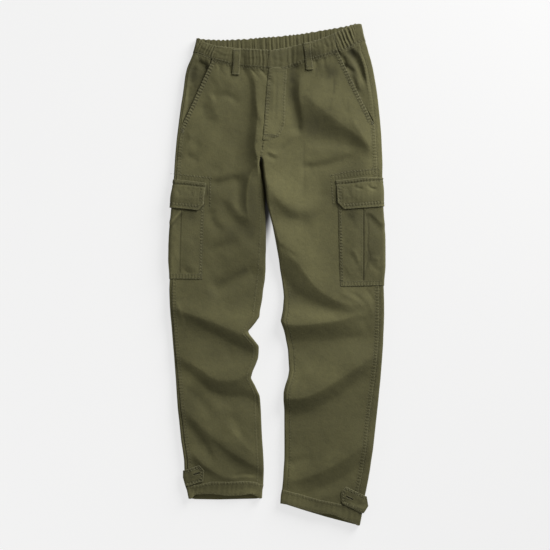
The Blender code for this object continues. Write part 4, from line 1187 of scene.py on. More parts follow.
# ---- hem bands
HEM_FRONT = {
    "L": curve("186,499.4 188.6,499 194.6,494.7 203,494.1 212,494 "
               "227.5,495.8 240,495.4 250.7,493.7 256.3,495.8 260.5,498.4 "
               "264,499", .8),
    "R": curve("278,503.2 280.5,503.5 285.4,503.9 303.7,509.5 319,513 "
               "333,514.4 343.7,519.3 355,523.5 358.8,525.5 364,527", .8),
}
HEM_BACK = {
    "L": curve("186,499.2 188.6,499.2 219,499.7 261.5,498.7 264,498.8", .8),
    "R": curve("278,503.2 280.5,503.6 285.4,504.4 303.7,510.3 326,517 "
               "355,524.6 358.8,525.7 364,527", .8),
}


def hem_band(side, tall=22):
    sg = SIDE[side]
    seam = HEM_SEAM[side]
    t = np.linspace(0, 1, tall)
    xs_o, xs_i = (189.0, 260.6) if side == "L" else (358.6, 280.3)
    yo1, yi1 = float(HEM_FRONT[side](xs_o)), float(HEM_FRONT[side](xs_i))
    o0 = crossing(lambda y: edge(side, "outer", y), seam)
    i0 = crossing(lambda y: edge(side, "inner", y), seam)
    yo0, yi0 = float(o0[1]), float(i0[1])
    arc, flat = 13, 74
    turn = np.radians(90 - 180 * np.linspace(0, 1, arc))[1:-1]
    X, Y, Z = [], [], []
    for k, d in enumerate(t):
        yo, yi = yo0 + (yo1 - yo0) * d + .1, yi0 + (yi1 - yi0) * d + .1
        o = float(edge(side, "outer", yo))
        i = float(edge(side, "inner", yi))
        xo, xi = o - sg * R_SQ, i + sg * R_SQ
        x = np.linspace(xo, xi, flat)
        s = np.linspace(0, 1, flat)
        ends = smooth(np.minimum(s, 1 - s) / .07)
        yf = seam(x) + .12 + (HEM_FRONT[side](x) - seam(x)) * d
        line = yo + (yi - yo) * s
        yf = line + (yf - line) * ends
        yb = seam(x) + .12 + (HEM_BACK[side](x) - seam(x)) * d
        yb = line + (yb - line) * ends
        up = 0.0016 - 0.0005 * math.exp(-(d / .10) ** 2) \
            + 0.0005 * math.exp(-((d - .80) / .2) ** 2)
        ribs = 0.00034 * uneven(x + 2 * d, 5.2, 17) \
            * (0.4 + .6 * math.sin(math.pi * min(1, .15 + .85 * d)))
        open_up = (0.0004 if side == "L" else 0.0012) \
            * smooth((d - .2) / .8) * np.sin(math.pi * s) ** .7
        sag = 0.0022 if side == "L" else 0.0
        open_up = open_up - sag * smooth((d - .1) / .9) * ends
        zf = top(side, x, yf, True) + up + ribs + open_up
        zb = 0.0 + 0.0004 * (1 - np.cos(2 * math.pi * s)) * 0 \
            + 0.00018 * (1 + uneven(x, 5.2, 23)) * ends
        zt_o, zt_i = float(zf[0]), float(zf[-1])
        wide = R_SQ + .25
        xi_r = xi - sg * wide * full(turn)
        zi_r = zt_i * (1 + np.sin(turn)) / 2
        xo_r = xo + sg * wide * full(turn)
        zo_r = zt_o * (1 + np.sin(turn)) / 2
        X.append(np.concatenate([x, xi_r, x[::-1], xo_r[::-1]]))
        Y.append(np.concatenate([yf, np.full(arc - 2, yi), yb[::-1],
                                 np.full(arc - 2, yo)]))
        Z.append(np.concatenate([zf, zi_r, zb[::-1], zo_r[::-1]]))
    X, Y, Z = np.array(X), np.array(Y), np.array(Z)
    return dict(name="hem_band_" + side, grid=place(X, Y, Z), wall=0.0017,
                mat="band", plan=(X, Y), ring=True, coarse=1, arc=True)


# ---- hem tabs: upper and lower edge of the strap, from the root to its tip
TAB = {
    "L": dict(upper=pairs("183.1,470.5 199.2,465.0 204.2,470.5"),
              lower=pairs("185.4,485.8 188.9,485.6 203.1,481.3"),
              swell=pairs("0,0 .44,1.1 1,0"),
              slit=((194.0, 474.4), (199.2, 472.8))),
    "R": dict(upper=pairs("366.6,496.4 346.0,486.4 341.1,491.5"),
              lower=pairs("363.6,513.0 361.2,513.2 342.8,503.9 341.3,501.2"),
              swell=pairs("0,0 .08,.5 .58,3.3 1,0"),
              slit=((346.4, 496.4), (352.2, 499.2))),
}


def leg_or_hem(side, x, y):
    """Outside of the front, over the step up to its hem band."""
    down = y - HEM_SEAM[side](x)
    return top(side, x, y) + 0.0003 + 0.0016 * smooth((down + 4) / 5)


def inset(path, away):
    """The line beside this one, away to its inner side, corners mitred."""
    step = np.diff(path, axis=0)
    way = step / np.hypot(step[:, 0], step[:, 1])[:, None]
    out = np.stack([-way[:, 1], way[:, 0]], -1)
    turns = way[:-1, 0] * way[1:, 1] - way[:-1, 1] * way[1:, 0]
    out = out * np.sign(turns.sum()) * away
    line = [path[0] + out[0]]
    for k in range(len(way) - 1):
        both = way[k, 0] * way[k + 1, 1] - way[k, 1] * way[k + 1, 0]
        d = (path[k + 1] + out[k + 1]) - (path[k + 1] + out[k])
        t = (d[0] * way[k + 1, 1] - d[1] * way[k + 1, 0]) / both
        line.append(path[k + 1] + out[k] + way[k] * t)
    line.append(path[-1] + out[-1])
    fine = []
    for a, b in zip(line[:-1], line[1:]):
        n = max(2, int(np.hypot(*(b - a)) / .9))
        fine += [a + (b - a) * k / n for k in range(n)]
    return np.array(fine + [line[-1]])


def tab_rim(side):
    cut = TAB[side]
    return np.concatenate([cut["upper"], cut["lower"][::-1]])


def from_line(path, x, y):
    """Distance to the line through these points."""
    best = np.full(x.shape, 1e9)
    for a, b in zip(path[:-1], path[1:]):
        dx, dy = b - a
        q = np.clip(((x - a[0]) * dx + (y - a[1]) * dy)
                    / (dx * dx + dy * dy), 0, 1)
        best = np.minimum(best, np.hypot(x - a[0] - q * dx,
                                         y - a[1] - q * dy))
    return best


def hem_tab(side, across=57, tall=37):
    sg = SIDE[side]
    cut = TAB[side]

    def along(p, s):
        size = np.hypot(*np.diff(p, axis=0).T)
        run = np.concatenate([[0], np.cumsum(size)]) / size.sum()
        return np.interp(s, run, p[:, 0]), np.interp(s, run, p[:, 1])
    s = np.linspace(0, 1, across)[None]
    t = np.linspace(0, 1, tall)[:, None]
    ux, uy = along(cut["upper"], s)
    lx, ly = along(cut["lower"], s)
    x = ux + (lx - ux) * t
    y = uy + (ly - uy) * t
    swell = cut["swell"]
    x = x + sg * np.interp(t, swell[:, 0], swell[:, 1]) \
        * np.maximum(0, 1 - s / .3)
    o = edge(side, "outer", y)
    # it stands past the folded edge, then turns down round it
    past = (x - (o - sg * (R_SQ + .4))) * sg
    low = leg_or_hem(side, np.where(past > 0, o - sg * (R_SQ + .4), x), y)
    rim = from_line(np.concatenate([cut["upper"], cut["lower"][::-1]]), x, y)
    z = low + (0.0011 if side == "L" else 0.0008) \
        + 0.0005 * smooth(rim / .8) \
        - 0.00030 * np.exp(-((rim - 1.4) / .5) ** 2) \
        - 0.00026 * np.exp(-((rim - 3.0) / .5) ** 2) \
        + 0.0004 * smooth((s - .6) / .4) + 0.0002 * noise(x, y, 4, 44)
    (ax, ay), (bx, by) = cut["slit"]
    away = from_line(np.array([[ax, ay], [bx, by]]), x, y)
    z = z - 0.0005 * np.exp(-(away / .6) ** 2) \
        + 0.00025 * np.exp(-((away - 1.4) / .6) ** 2)
    z = z - 0.0010 * smooth(past / 4)
    turn = np.linspace(1.5, .12, 7)[None]
    end = x[:, :1] + sg * (.05 + .12 * np.sin(turn * 2))
    down = 0.0020 + (z[:, :1] - 0.0020) * (1 - np.cos(turn)) / .93
    down = np.minimum(down, z[:, :1])
    x = np.concatenate([end[:, ::-1], x], 1)
    y = np.concatenate([y[:, :1] + 0 * turn, y], 1)
    z = np.concatenate([down[:, ::-1], z], 1)
    away = np.concatenate([9 + 0 * end, away], 1)
    rim = np.concatenate([9 + 0 * end, rim], 1)
    grid = place(x, y, z)
    down = bool(normals(grid)[tall // 2, across // 2, 2] < 0)
    return dict(name="hem_tab_" + side, grid=grid, wall=0.0012, mat="trim",
                plan=(x, y), coarse=2, slit=away, rim=rim, flip=down)


# How far the edges are rubbed paler, partly a painted highlight on the rims, and how much painted light lifts
# the inner faces, which lie in shade.
RUBBED_AND_LIT = [
    ("front_panel", .14, 0), ("back_panel", .15, 0), ("pocket_fac", .15, 0),
    ("fly", .40, 0), ("waistband", .60, 0), ("belt", .45, 0),
    ("cargo_pocket", .12, 0), ("cargo_flap", .8, 0), ("hem_band", .55, 1.1),
    ("hem_tab", 1.3, 0),
]


def all_pieces():
    out = []
    for side in ("L", "R"):
        out += [front_panel(side), back_panel(side), pocket_facing(side),
                band_front(side), cargo_pocket(side), cargo_flap(side),
                hem_band(side), hem_tab(side)]
    out += [fly_placket(), back_band()]
    out += [belt_loop(name) for name in LOOPS]
    for p in out:
        for key, share, inside in RUBBED_AND_LIT:
            if p["name"].startswith(key):
                p["worn"], p["inside"] = share, inside
    return out


# ------------------------------------------------------- cloth from a grid
def normals(p, ring=False, flip=False):
    down = np.gradient(p, axis=0)
    if ring:
        over = (np.roll(p, -1, 1) - np.roll(p, 1, 1)) / 2
    else:
        over = np.gradient(p, axis=1)
    n = np.cross(down, over)
    n /= np.linalg.norm(n, axis=2, keepdims=True) + 1e-12
    if (n[p.shape[0] // 2, :5, 2].mean() < 0) != flip:
        n = -n
    return n


def bordered(a, axis):
    """Two more rows close to each end, so that the edge can be rounded."""
    a = np.moveaxis(a, axis, 0)
    first = [a[0] + (a[1] - a[0]) * t for t in (.16, .5)]
    last = [a[-1] + (a[-2] - a[-1]) * t for t in (.5, .16)]
    a = np.concatenate([a[:1], first, a[1:-1], last, a[-1:]])
    return np.moveaxis(a, 0, axis)


def border_row(count, values):
    f = np.zeros(count)
    for k, v in enumerate(values):
        f[k] = max(f[k], v)
        f[-1 - k] = max(f[-1 - k], v)
    return f


def zip_faces(a, b, ta, tb):
    """Faces between two rows of vertices with rising parameters."""
    faces, i, j = [], 0, 0
    while i < len(a) - 1 or j < len(b) - 1:
        if j == len(b) - 1 or (i < len(a) - 1 and ta[i + 1] <= tb[j + 1]):
            faces.append((a[i], a[i + 1], b[j]))
            i += 1
        else:
            faces.append((a[i], b[j + 1], b[j]))
            j += 1
    return faces


def quads(index, ring=False):
    a = index
    b = np.roll(index, -1, 1) if ring else index[:, 1:]
    a = a if ring else a[:, :-1]
    q = np.stack([a[:-1], a[1:], b[1:], b[:-1]], -1)
    return q.reshape(-1, 4)


def cloth_mesh(p):
    """A closed thin shell whose outside is the piece's grid of points."""
    grid, wall = p["grid"], p["wall"]
    ring = p.get("ring", False)
    n = normals(grid, ring, p.get("flip", False))
    across = np.cumsum(np.concatenate(
        [np.zeros((grid.shape[0], 1)),
         np.linalg.norm(np.diff(grid, axis=1), axis=2)], 1), 1)
    if p.get("arc"):
        u, v = across, -p["plan"][1] * SQ
    else:
        u, v = grid[..., 0], grid[..., 1]
    extra = seam_marks(p)
    a = np.concatenate([grid, n, u[..., None], v[..., None], extra], 2)
    rows, cols = grid.shape[:2]
    at_r, at_c = np.arange(rows, dtype=float), np.arange(cols, dtype=float)

    def more(t):
        return np.concatenate([t[:1], t[0] + np.array([.16, .5]), t[1:-1],
                               t[-1] - np.array([.5, .16]), t[-1:]])
    a = bordered(a, 0)
    at_r = more(at_r)
    if not ring:
        a = bordered(a, 1)
        at_c = more(at_c)
    worn = p.get("worn", 1.0)
    drop = border_row(len(at_r), (.5, .17, .02))[:, None] \
        + np.zeros(len(at_c))
    # edges rubbed paler, partly a painted highlight on the rims
    wear_and_highlight = border_row(len(at_r), (1, .95, .8, .45, .12))[:, None] \
        + np.zeros(len(at_c))
    if not ring:
        drop = np.maximum(drop, border_row(len(at_c), (.5, .17, .02)))
        wear_and_highlight = np.maximum(wear_and_highlight, border_row(len(at_c),
                                           (1, .95, .8, .45, .12)))
    outer = a[..., :3] - a[..., 3:6] * (wall * drop)[..., None]
    c = p.get("coarse", 3)
    keep_r = np.unique(np.append(np.arange(0, rows, c), rows - 1))
    keep_c = np.arange(cols) if ring else \
        np.unique(np.append(np.arange(0, cols, c), cols - 1))
    inner = (grid - n * wall)[keep_r][:, keep_c]
    uv_in = np.stack([u, v], -1)[keep_r][:, keep_c]
    no, ni = outer.shape[0] * outer.shape[1], inner.shape[0] * inner.shape[1]
    io = np.arange(no).reshape(outer.shape[:2])
    ii = no + np.arange(ni).reshape(inner.shape[:2])
    faces4 = [quads(io, ring), quads(ii, ring)[:, ::-1]]
    rims = []
    for k in (0, -1):
        ra, rb = io[k], ii[k]
        ta, tb = at_c, keep_c.astype(float)
        if ring:
            ra, rb = np.append(ra, ra[0]), np.append(rb, rb[0])
            ta, tb = np.append(ta, cols), np.append(tb, cols)
        rims += zip_faces(ra, rb, ta, tb)
        if not ring:
            rims += zip_faces(io[:, k], ii[:, k], at_r,
                              keep_r.astype(float))
    co = np.concatenate([outer.reshape(-1, 3), inner.reshape(-1, 3)])
    uv = np.concatenate([a[..., 6:8].reshape(-1, 2), uv_in.reshape(-1, 2)])
    # the inner faces get the piece's painted light: the hem bands' shaded insides are painted lighter
    inside = np.zeros((ni, extra.shape[2]))
    inside[:, 3] = p.get("inside", 0)
    marks = np.concatenate([a[..., 8:].reshape(no, -1), inside])
    wear_and_highlight = np.concatenate([wear_and_highlight.ravel() * worn, np.zeros(ni)])
    faces = [tuple(f) for q in faces4 for f in q.tolist()] + rims
    me = bpy.data.meshes.new("cloth_" + p["name"])
    me.from_pydata(co.tolist(), [], faces)
    bm = bmesh.new()
    bm.from_mesh(me)
    bmesh.ops.recalc_face_normals(bm, faces=bm.faces)
    bm.to_mesh(me)
    bm.free()
    me.shade_smooth()
    layer = me.uv_layers.new(name="grain")
    loop = np.zeros(len(me.loops), np.int32)
    me.loops.foreach_get("vertex_index", loop)
    layer.data.foreach_set("uv", uv[loop].astype(np.float32).ravel())
    put(me, "wear_and_highlight", "FLOAT", wear_and_highlight)
    put(me, "ladder", "FLOAT_VECTOR", marks[:, 0:3])
    # fade carries painted light and shade, and on the hem tabs some random tone, as a share of the cloth's
    # colour
    put(me, "fade", "FLOAT", marks[:, 3])
    ob = bpy.data.objects.new("cloth_" + p["name"], me)
    bpy.context.scene.collection.objects.link(ob)
    return ob


def put(me, name, kind, values):
    at = me.attributes.new(name, kind, "POINT")
    at.data.foreach_set("vector" if kind == "FLOAT_VECTOR" else "value",
                        np.asarray(values, np.float32).ravel())


# --------------------------------------------- sewn seams that pucker
def with_y(fn, ys, shift=0.0):
    ys = np.asarray(ys, float)
    return np.stack([fn(ys) + shift, ys], -1)


WAIST_ROWS = {side: np.stack([xs, FRONT_SEAM(xs) - .2], -1)
              for side, xs in (("L", np.linspace(190, 268, 20)),
                               ("R", np.linspace(269, 368, 24)))}


def seam_paths(side):
    """Puckered seams of a leg: path, half width in squares, strength."""
    sg = SIDE[side]
    foot = POCKET_FOOT[side]
    return [
        (with_y(POCKET_EDGE[side], np.linspace(52, foot, 24), -sg * 2.2),
         2.3, 1.05),
        (with_y(lambda y: side_x(side, y), np.linspace(foot, 505, 60),
                -sg * 1.7), 1.9, .6 if side == "R" else .5),
        (WAIST_ROWS[side], 1.6, .55),
        (with_y(lambda y: leg_x(side, y), np.linspace(
            172 if side == "L" else 288, 490, 60), sg * 1.0), 1.3,
            .22 if side == "L" else .28),
    ]


OTHER_SEAMS = [
    (with_y(centre_x, np.linspace(70, 134, 14), 1.6), 1.7, .55),
    (with_y(centre_x, np.linspace(134, 156, 6), 0.0), 1.5, .6),
    (with_y(FLY_LINE, np.linspace(74, 136, 14), -1.0), 1.4, .45),
]
BACKING = {
    "L": [pairs("170,174 174.4,174.2 191.6,176 210.5,178.2"),
          pairs("210.5,178.2 209.8,206")],
    "R": [pairs("330.6,175.7 347.7,172 382,168.6"),
          pairs("330.6,175.7 333.4,204.5")],
}

PUCKERED = {    # between the backing's top row and the flap's
    "L": pairs("172,177 186,178 205,180.4"),
    "R": pairs("334,177.8 348,175.4 365,172.9 382,172.6"),
}


# Painted light and shade: soft patches that lighten or darken the cloth's colour where the folds' own light and
# shade fall short: x, y, half sizes, share.
PAINTED_LIGHT_SHADE = [
    (294.5, 85, 3.5, 7, .12), (212, 294, 7, 6, -.16), (272, 214, 5, 7, -.16),
    (312, 214, 8, 7, -.14), (252, 474, 5, 8, .14), (232, 434, 8, 7, .12),
    (256, 268, 4.5, 5.5, .26), (243, 271, 7, 3.5, -.16), (292, 214, 8, 8, -.18),
    (231, 274, 4, 4, .08), (219, 283, 5, 4, .06),
    (352, 494, 8, 7, -.14),
    (290, 176, 34, 46, .30), (304, 250, 30, 40, .24), (328, 94, 36, 28, .15),
    (270, 130, 17, 42, .18), (206, 145, 32, 38, .18), (315, 374, 32, 18, .28),
    (318, 316, 36, 14, .12), (210, 314, 30, 13, .16), (228, 368, 28, 9, .09),
    (376, 150, 10, 60, .18), (176, 270, 8, 60, .22), (214, 426, 26, 18, .12),
    (250, 316, 12, 16, .08), (320, 462, 30, 12, .12), (194, 374, 14, 20, .16),
    (250, 212, 9, 34, -.10), (309, 126, 9, 18, -.12), (198, 74, 10, 16, -.22),
    (356, 68, 7, 18, -.16), (372, 235, 9, 34, -.10), (292, 474, 14, 14, .24),
    (256, 212, 8, 42, -.08), (206, 66, 4, 5, -.3), (333, 55, 3, 5, -.25),
    (232, 314, 26, 10, .08), (244, 486, 26, 16, .12), (300, 492, 26, 12, .14),
    (222, 492, 40, 7, .16), (372, 190, 10, 30, .08),
    (272, 94, 9, 12, -.18), (292, 96, 6, 14, -.12), (312, 124, 12, 12, -.15),
    (332, 194, 12, 12, -.16), (352, 174, 14, 8, -.14), (352, 214, 8, 10, -.2),
    (372, 232, 8, 22, -.12), (292, 294, 9, 9, -.15), (172, 264, 6, 14, .18),
    (373, 154, 7, 9, .2), (374, 274, 7, 9, .18), (332, 314, 14, 9, .2),
    (292, 324, 14, 14, .13), (192, 374, 10, 10, .2), (292, 374, 12, 10, .2),
    (232, 434, 12, 10, .16), (192, 454, 8, 10, .14), (292, 464, 12, 14, .16),
    (252, 494, 10, 8, .2), (210, 494, 22, 6, .12), (292, 494, 10, 8, .14),
    (192, 76, 8, 12, -.2), (330, 71, 10, 8, -.16), (352, 74, 6, 10, -.24),
    (312, 54, 10, 6, -.2), (352, 52, 5, 7, -.24), (252, 194, 6, 14, -.16),
    (232, 234, 9, 9, -.16), (192, 214, 9, 9, -.12),
    (312, 55, 10, 6, -.16), (352, 54, 5, 7, -.16), (330, 72, 10, 9, -.12),
    (292, 94, 6, 12, -.14), (312, 76, 6, 8, -.1), (332, 134, 12, 9, -.1),
    (372, 256, 7, 9, -.16), (252, 250, 8, 10, -.12), (272, 297, 8, 10, -.1),
    (292, 474, 10, 8, .16), (252, 496, 9, 7, .2), (290, 505, 12, 6, .1),
    (198, 108, 6, 12, .1), (300, 190, 12, 10, .1), (210, 272, 12, 10, .1),
    (356, 152, 10, 7, .1), (270, 180, 7, 12, .12), (372, 192, 8, 10, .12),
    (232, 194, 9, 12, -.16), (212, 194, 9, 9, -.2), (252, 234, 8, 9, -.16),
    (232, 236, 9, 8, -.16), (270, 54, 24, 6, -.18), (352, 54, 6, 7, -.2),
    (332, 34, 9, 6, -.2), (292, 82, 8, 15, -.2), (332, 74, 8, 8, -.18),
    (312, 174, 10, 8, -.2), (272, 104, 6, 14, -.14), (252, 494, 8, 7, .24),
    (232, 494, 8, 7, .16), (172, 264, 6, 15, .2), (312, 274, 9, 9, .2),
    (192, 374, 9, 9, .18), (332, 374, 10, 8, .18), (292, 474, 9, 9, .18),
    (332, 474, 10, 9, .18), (282, 184, 13, 13, .14),
    (372, 214, 7, 8, -.24), (252, 194, 6, 14, -.16), (352, 214, 7, 8, -.2),
    (303, 214, 14, 8, -.2), (292, 294, 7, 8, -.18), (345, 86, 14, 14, -.12),
    (372, 296, 7, 7, .16), (292, 494, 9, 7, .16), (192, 494, 7, 7, .16),
    (252, 494, 9, 7, .16), (182, 274, 12, 8, .18), (252, 454, 8, 9, .14),
    (320, 122, 16, 14, -.16), (212, 354, 9, 8, -.14), (312, 354, 10, 8, -.16),
    (312, 54, 10, 6, -.14), (342, 194, 14, 9, -.12),
    (290, 200, 24, 26, .10), (304, 240, 18, 26, .08), (312, 316, 24, 8, .12),
    (312, 334, 26, 7, .10), (312, 256, 9, 9, .10), (242, 316, 18, 8, .12),
    (352, 154, 8, 7, .14), (372, 174, 7, 8, .18), (352, 474, 8, 8, .14),
    (192, 454, 8, 8, .12), (292, 454, 9, 8, .12), (332, 454, 9, 8, .12),
    (252, 494, 9, 7, .14), (292, 374, 9, 8, .10), (192, 394, 8, 8, -.15),
    (332, 474, 8, 7, -.10), (192, 214, 7, 9, -.15), (312, 414, 9, 8, -.12),
    (372, 354, 8, 9, -.12), (352, 374, 9, 8, -.12), (252, 172, 6, 8, -.16),
    (232, 134, 9, 9, -.15), (192, 74, 5, 9, -.15), (372, 254, 7, 8, -.12),
    (192, 194, 8, 8, -.12), (252, 214, 5, 8, -.12), (332, 112, 9, 8, -.12),
    (312, 132, 8, 8, -.12), (292, 94, 5, 8, -.12), (292, 54, 8, 6, -.12),
    (252, 75, 6, 6, .15), (192, 114, 7, 8, .18), (212, 154, 9, 8, .14),
]


# painted light and shade: the patches summed as a share of the cloth's colour
def painted_patches(x, y):
    total = np.zeros(np.broadcast(x, y).shape)
    for at_x, at_y, wide, tall, share in PAINTED_LIGHT_SHADE:
        total = total + share * np.exp(-((x - at_x) / wide) ** 2
                                       - ((y - at_y) / tall) ** 2)
    return total


# Painted light and shade along creases and seams: light lines on crests the lamp skims, dark lines and shadows
# beside them and beside the flaps; on which pieces, path, half width, share.
PAINTED_CREASE_LINES = [
    ("cargo_pocket_L", "183,209.5 178,214.5 172.5,221 168,227", .9, .50),
    ("cargo_pocket_L", "184.5,211.5 179.5,216.8 174,223.3 169,229.5", 1.3,
     -.26),
    ("front_panel_R", "303.5,137 304.2,160 304.2,199", 1.5, -.16),
    ("front_panel_R", "292,138 286,144 279.5,150", 2.4, -.14),
    ("front_panel_R", "265.5,153.5 269,156 273,157.6 279.5,157.4", 1.3, -.14),
    ("front_panel_R", "265,150.8 269,152.4 275,154.2", 1.0, .2),
    ("front_panel_R", "267,140 271,143.5 276,145", .6, -.22),
    ("front_panel_R", "266,143.5 269.5,147 274,148.4", .6, -.2),
    ("front_panel_L", "256.4,166 251.0,175 248.0,186 246.9,200 247.2,213",
     1.0, .46),
    ("front_panel_L", "246,176 242.4,190 242,203 244.2,217", 3.6, -.16),
    ("front_panel_L", "212,206 213.4,219 220,227 228,231", 3.0, -.08),
    ("front_panel_L", "213,285.5 226,280 238,273.5 250,267.5", 3.8,
     -.15),
    ("front_panel_R", "316,67.5 316.3,72 316.6,78", 1.3, -.24),
    ("front_panel_R", "328.5,64.5 329,71 330.5,80", 2.3, -.11),
    ("front_panel_R", "353.5,118 357,126 363,134 368.5,143", 1.6, .15),
    ("front_panel_R", "334.3,78 334.2,86 333.6,96", 1.3, -.18),
    ("front_panel_R", "332,96 331.2,103 330.8,110", 1.5, -.13),
    ("front_panel_R", "347.6,98 348.2,105 348.6,112", 1.3, -.14),
    ("front_panel_R", "303.5,95 309,101 315,107", 3.4, -.20),
    ("front_panel_R", "338.5,74 339,86 338,98", 2.0, .10),
    ("front_panel_R", "322.5,68 323,76 322,86", 1.8, .09),
    ("front_panel_L", "214,180.6 235,176.6 252,172", 2.4, -.13),
    ("front_panel_L", "206,249 226,243.6", 3.0, -.08),
    ("front_panel_L", "228,206 236,216 246,230 252,242", 5.0, -.08),
    ("front_panel_R", "297.5,61 293.8,68 292.6,76 293,85", 3.2, -.34),
    ("front_panel_L", "206.8,184 207.4,189 207.8,196", 1.0, -.40),
    ("cargo_pocket_L", "205.4,203.6 202,208 199,211.4", .9, -.34),
    ("front_panel_L", "217,97.5 224,94.6 232,97.5 240,104", 2.4, -.14),
    ("front_panel_L", "203,102 206.6,112 210.4,122", 3.0, -.14),
    ("front_panel_L", "256.2,139 257.2,144", 1.3, -.3),
    ("front_panel_R", "320,62 322,72 321,80", 1.5, -.12),
    ("front_panel_R", "332,66 334,80 334,97", 1.3, -.13),
    ("front_panel_R", "342,96 345,107 350,116", 1.2, -.12),
    ("fly_placket", "274.6,72 274.3,95 273.2,125", 1.0, .16),
    ("fly_placket", "277.5,72 277.3,95 276.2,125", 1.2, -.12),
]
# painted shade: small dark ticks in the puckers beside the fly's edge and the inseams
SHADE_TICKS = {
    "fly_placket": (-.42, pairs("268.9,79 268.3,85.5 267.6,93 267.3,98.4 "
                                "266.8,105 266.3,112.5 265.9,119 265.3,126")),
    "front_panel_R": (-.26, pairs("293.9,331 294.2,338.9 294.5,347.8 "
                                  "294.6,357.6 292.9,366.6 291.7,374.6")),
    "front_panel_L": (-.24, pairs("261,238 260.4,244.5 259.8,252 259.2,259 "
                                  "258.6,266 256.8,281 256,288.5 255.2,295")),
}


def crease_light_and_shade(name, x, y):
    total = np.zeros(x.shape)
    for on, path, half, share in PAINTED_CREASE_LINES:
        if on != name:
            continue
        q = spline(pairs(path))
        m = ((x > q[:, 0].min() - 4 * half) & (x < q[:, 0].max() + 4 * half)
             & (y > q[:, 1].min() - 4 * half) & (y < q[:, 1].max() + 4 * half))
        d, run, whole = near(q, x[m], y[m])
        ends = smooth(run / (.22 * whole) + .1) \
            * smooth((whole - run) / (.22 * whole) + .1)
        total[m] += share * ends * np.exp(-(d / half) ** 2)
    share, spots = SHADE_TICKS.get(name, (0, []))
    for at_x, at_y in spots:
        total = total + share * np.exp(-((x - at_x) / 1.7) ** 2
                                       - ((y - at_y) / .95) ** 2)
    return total


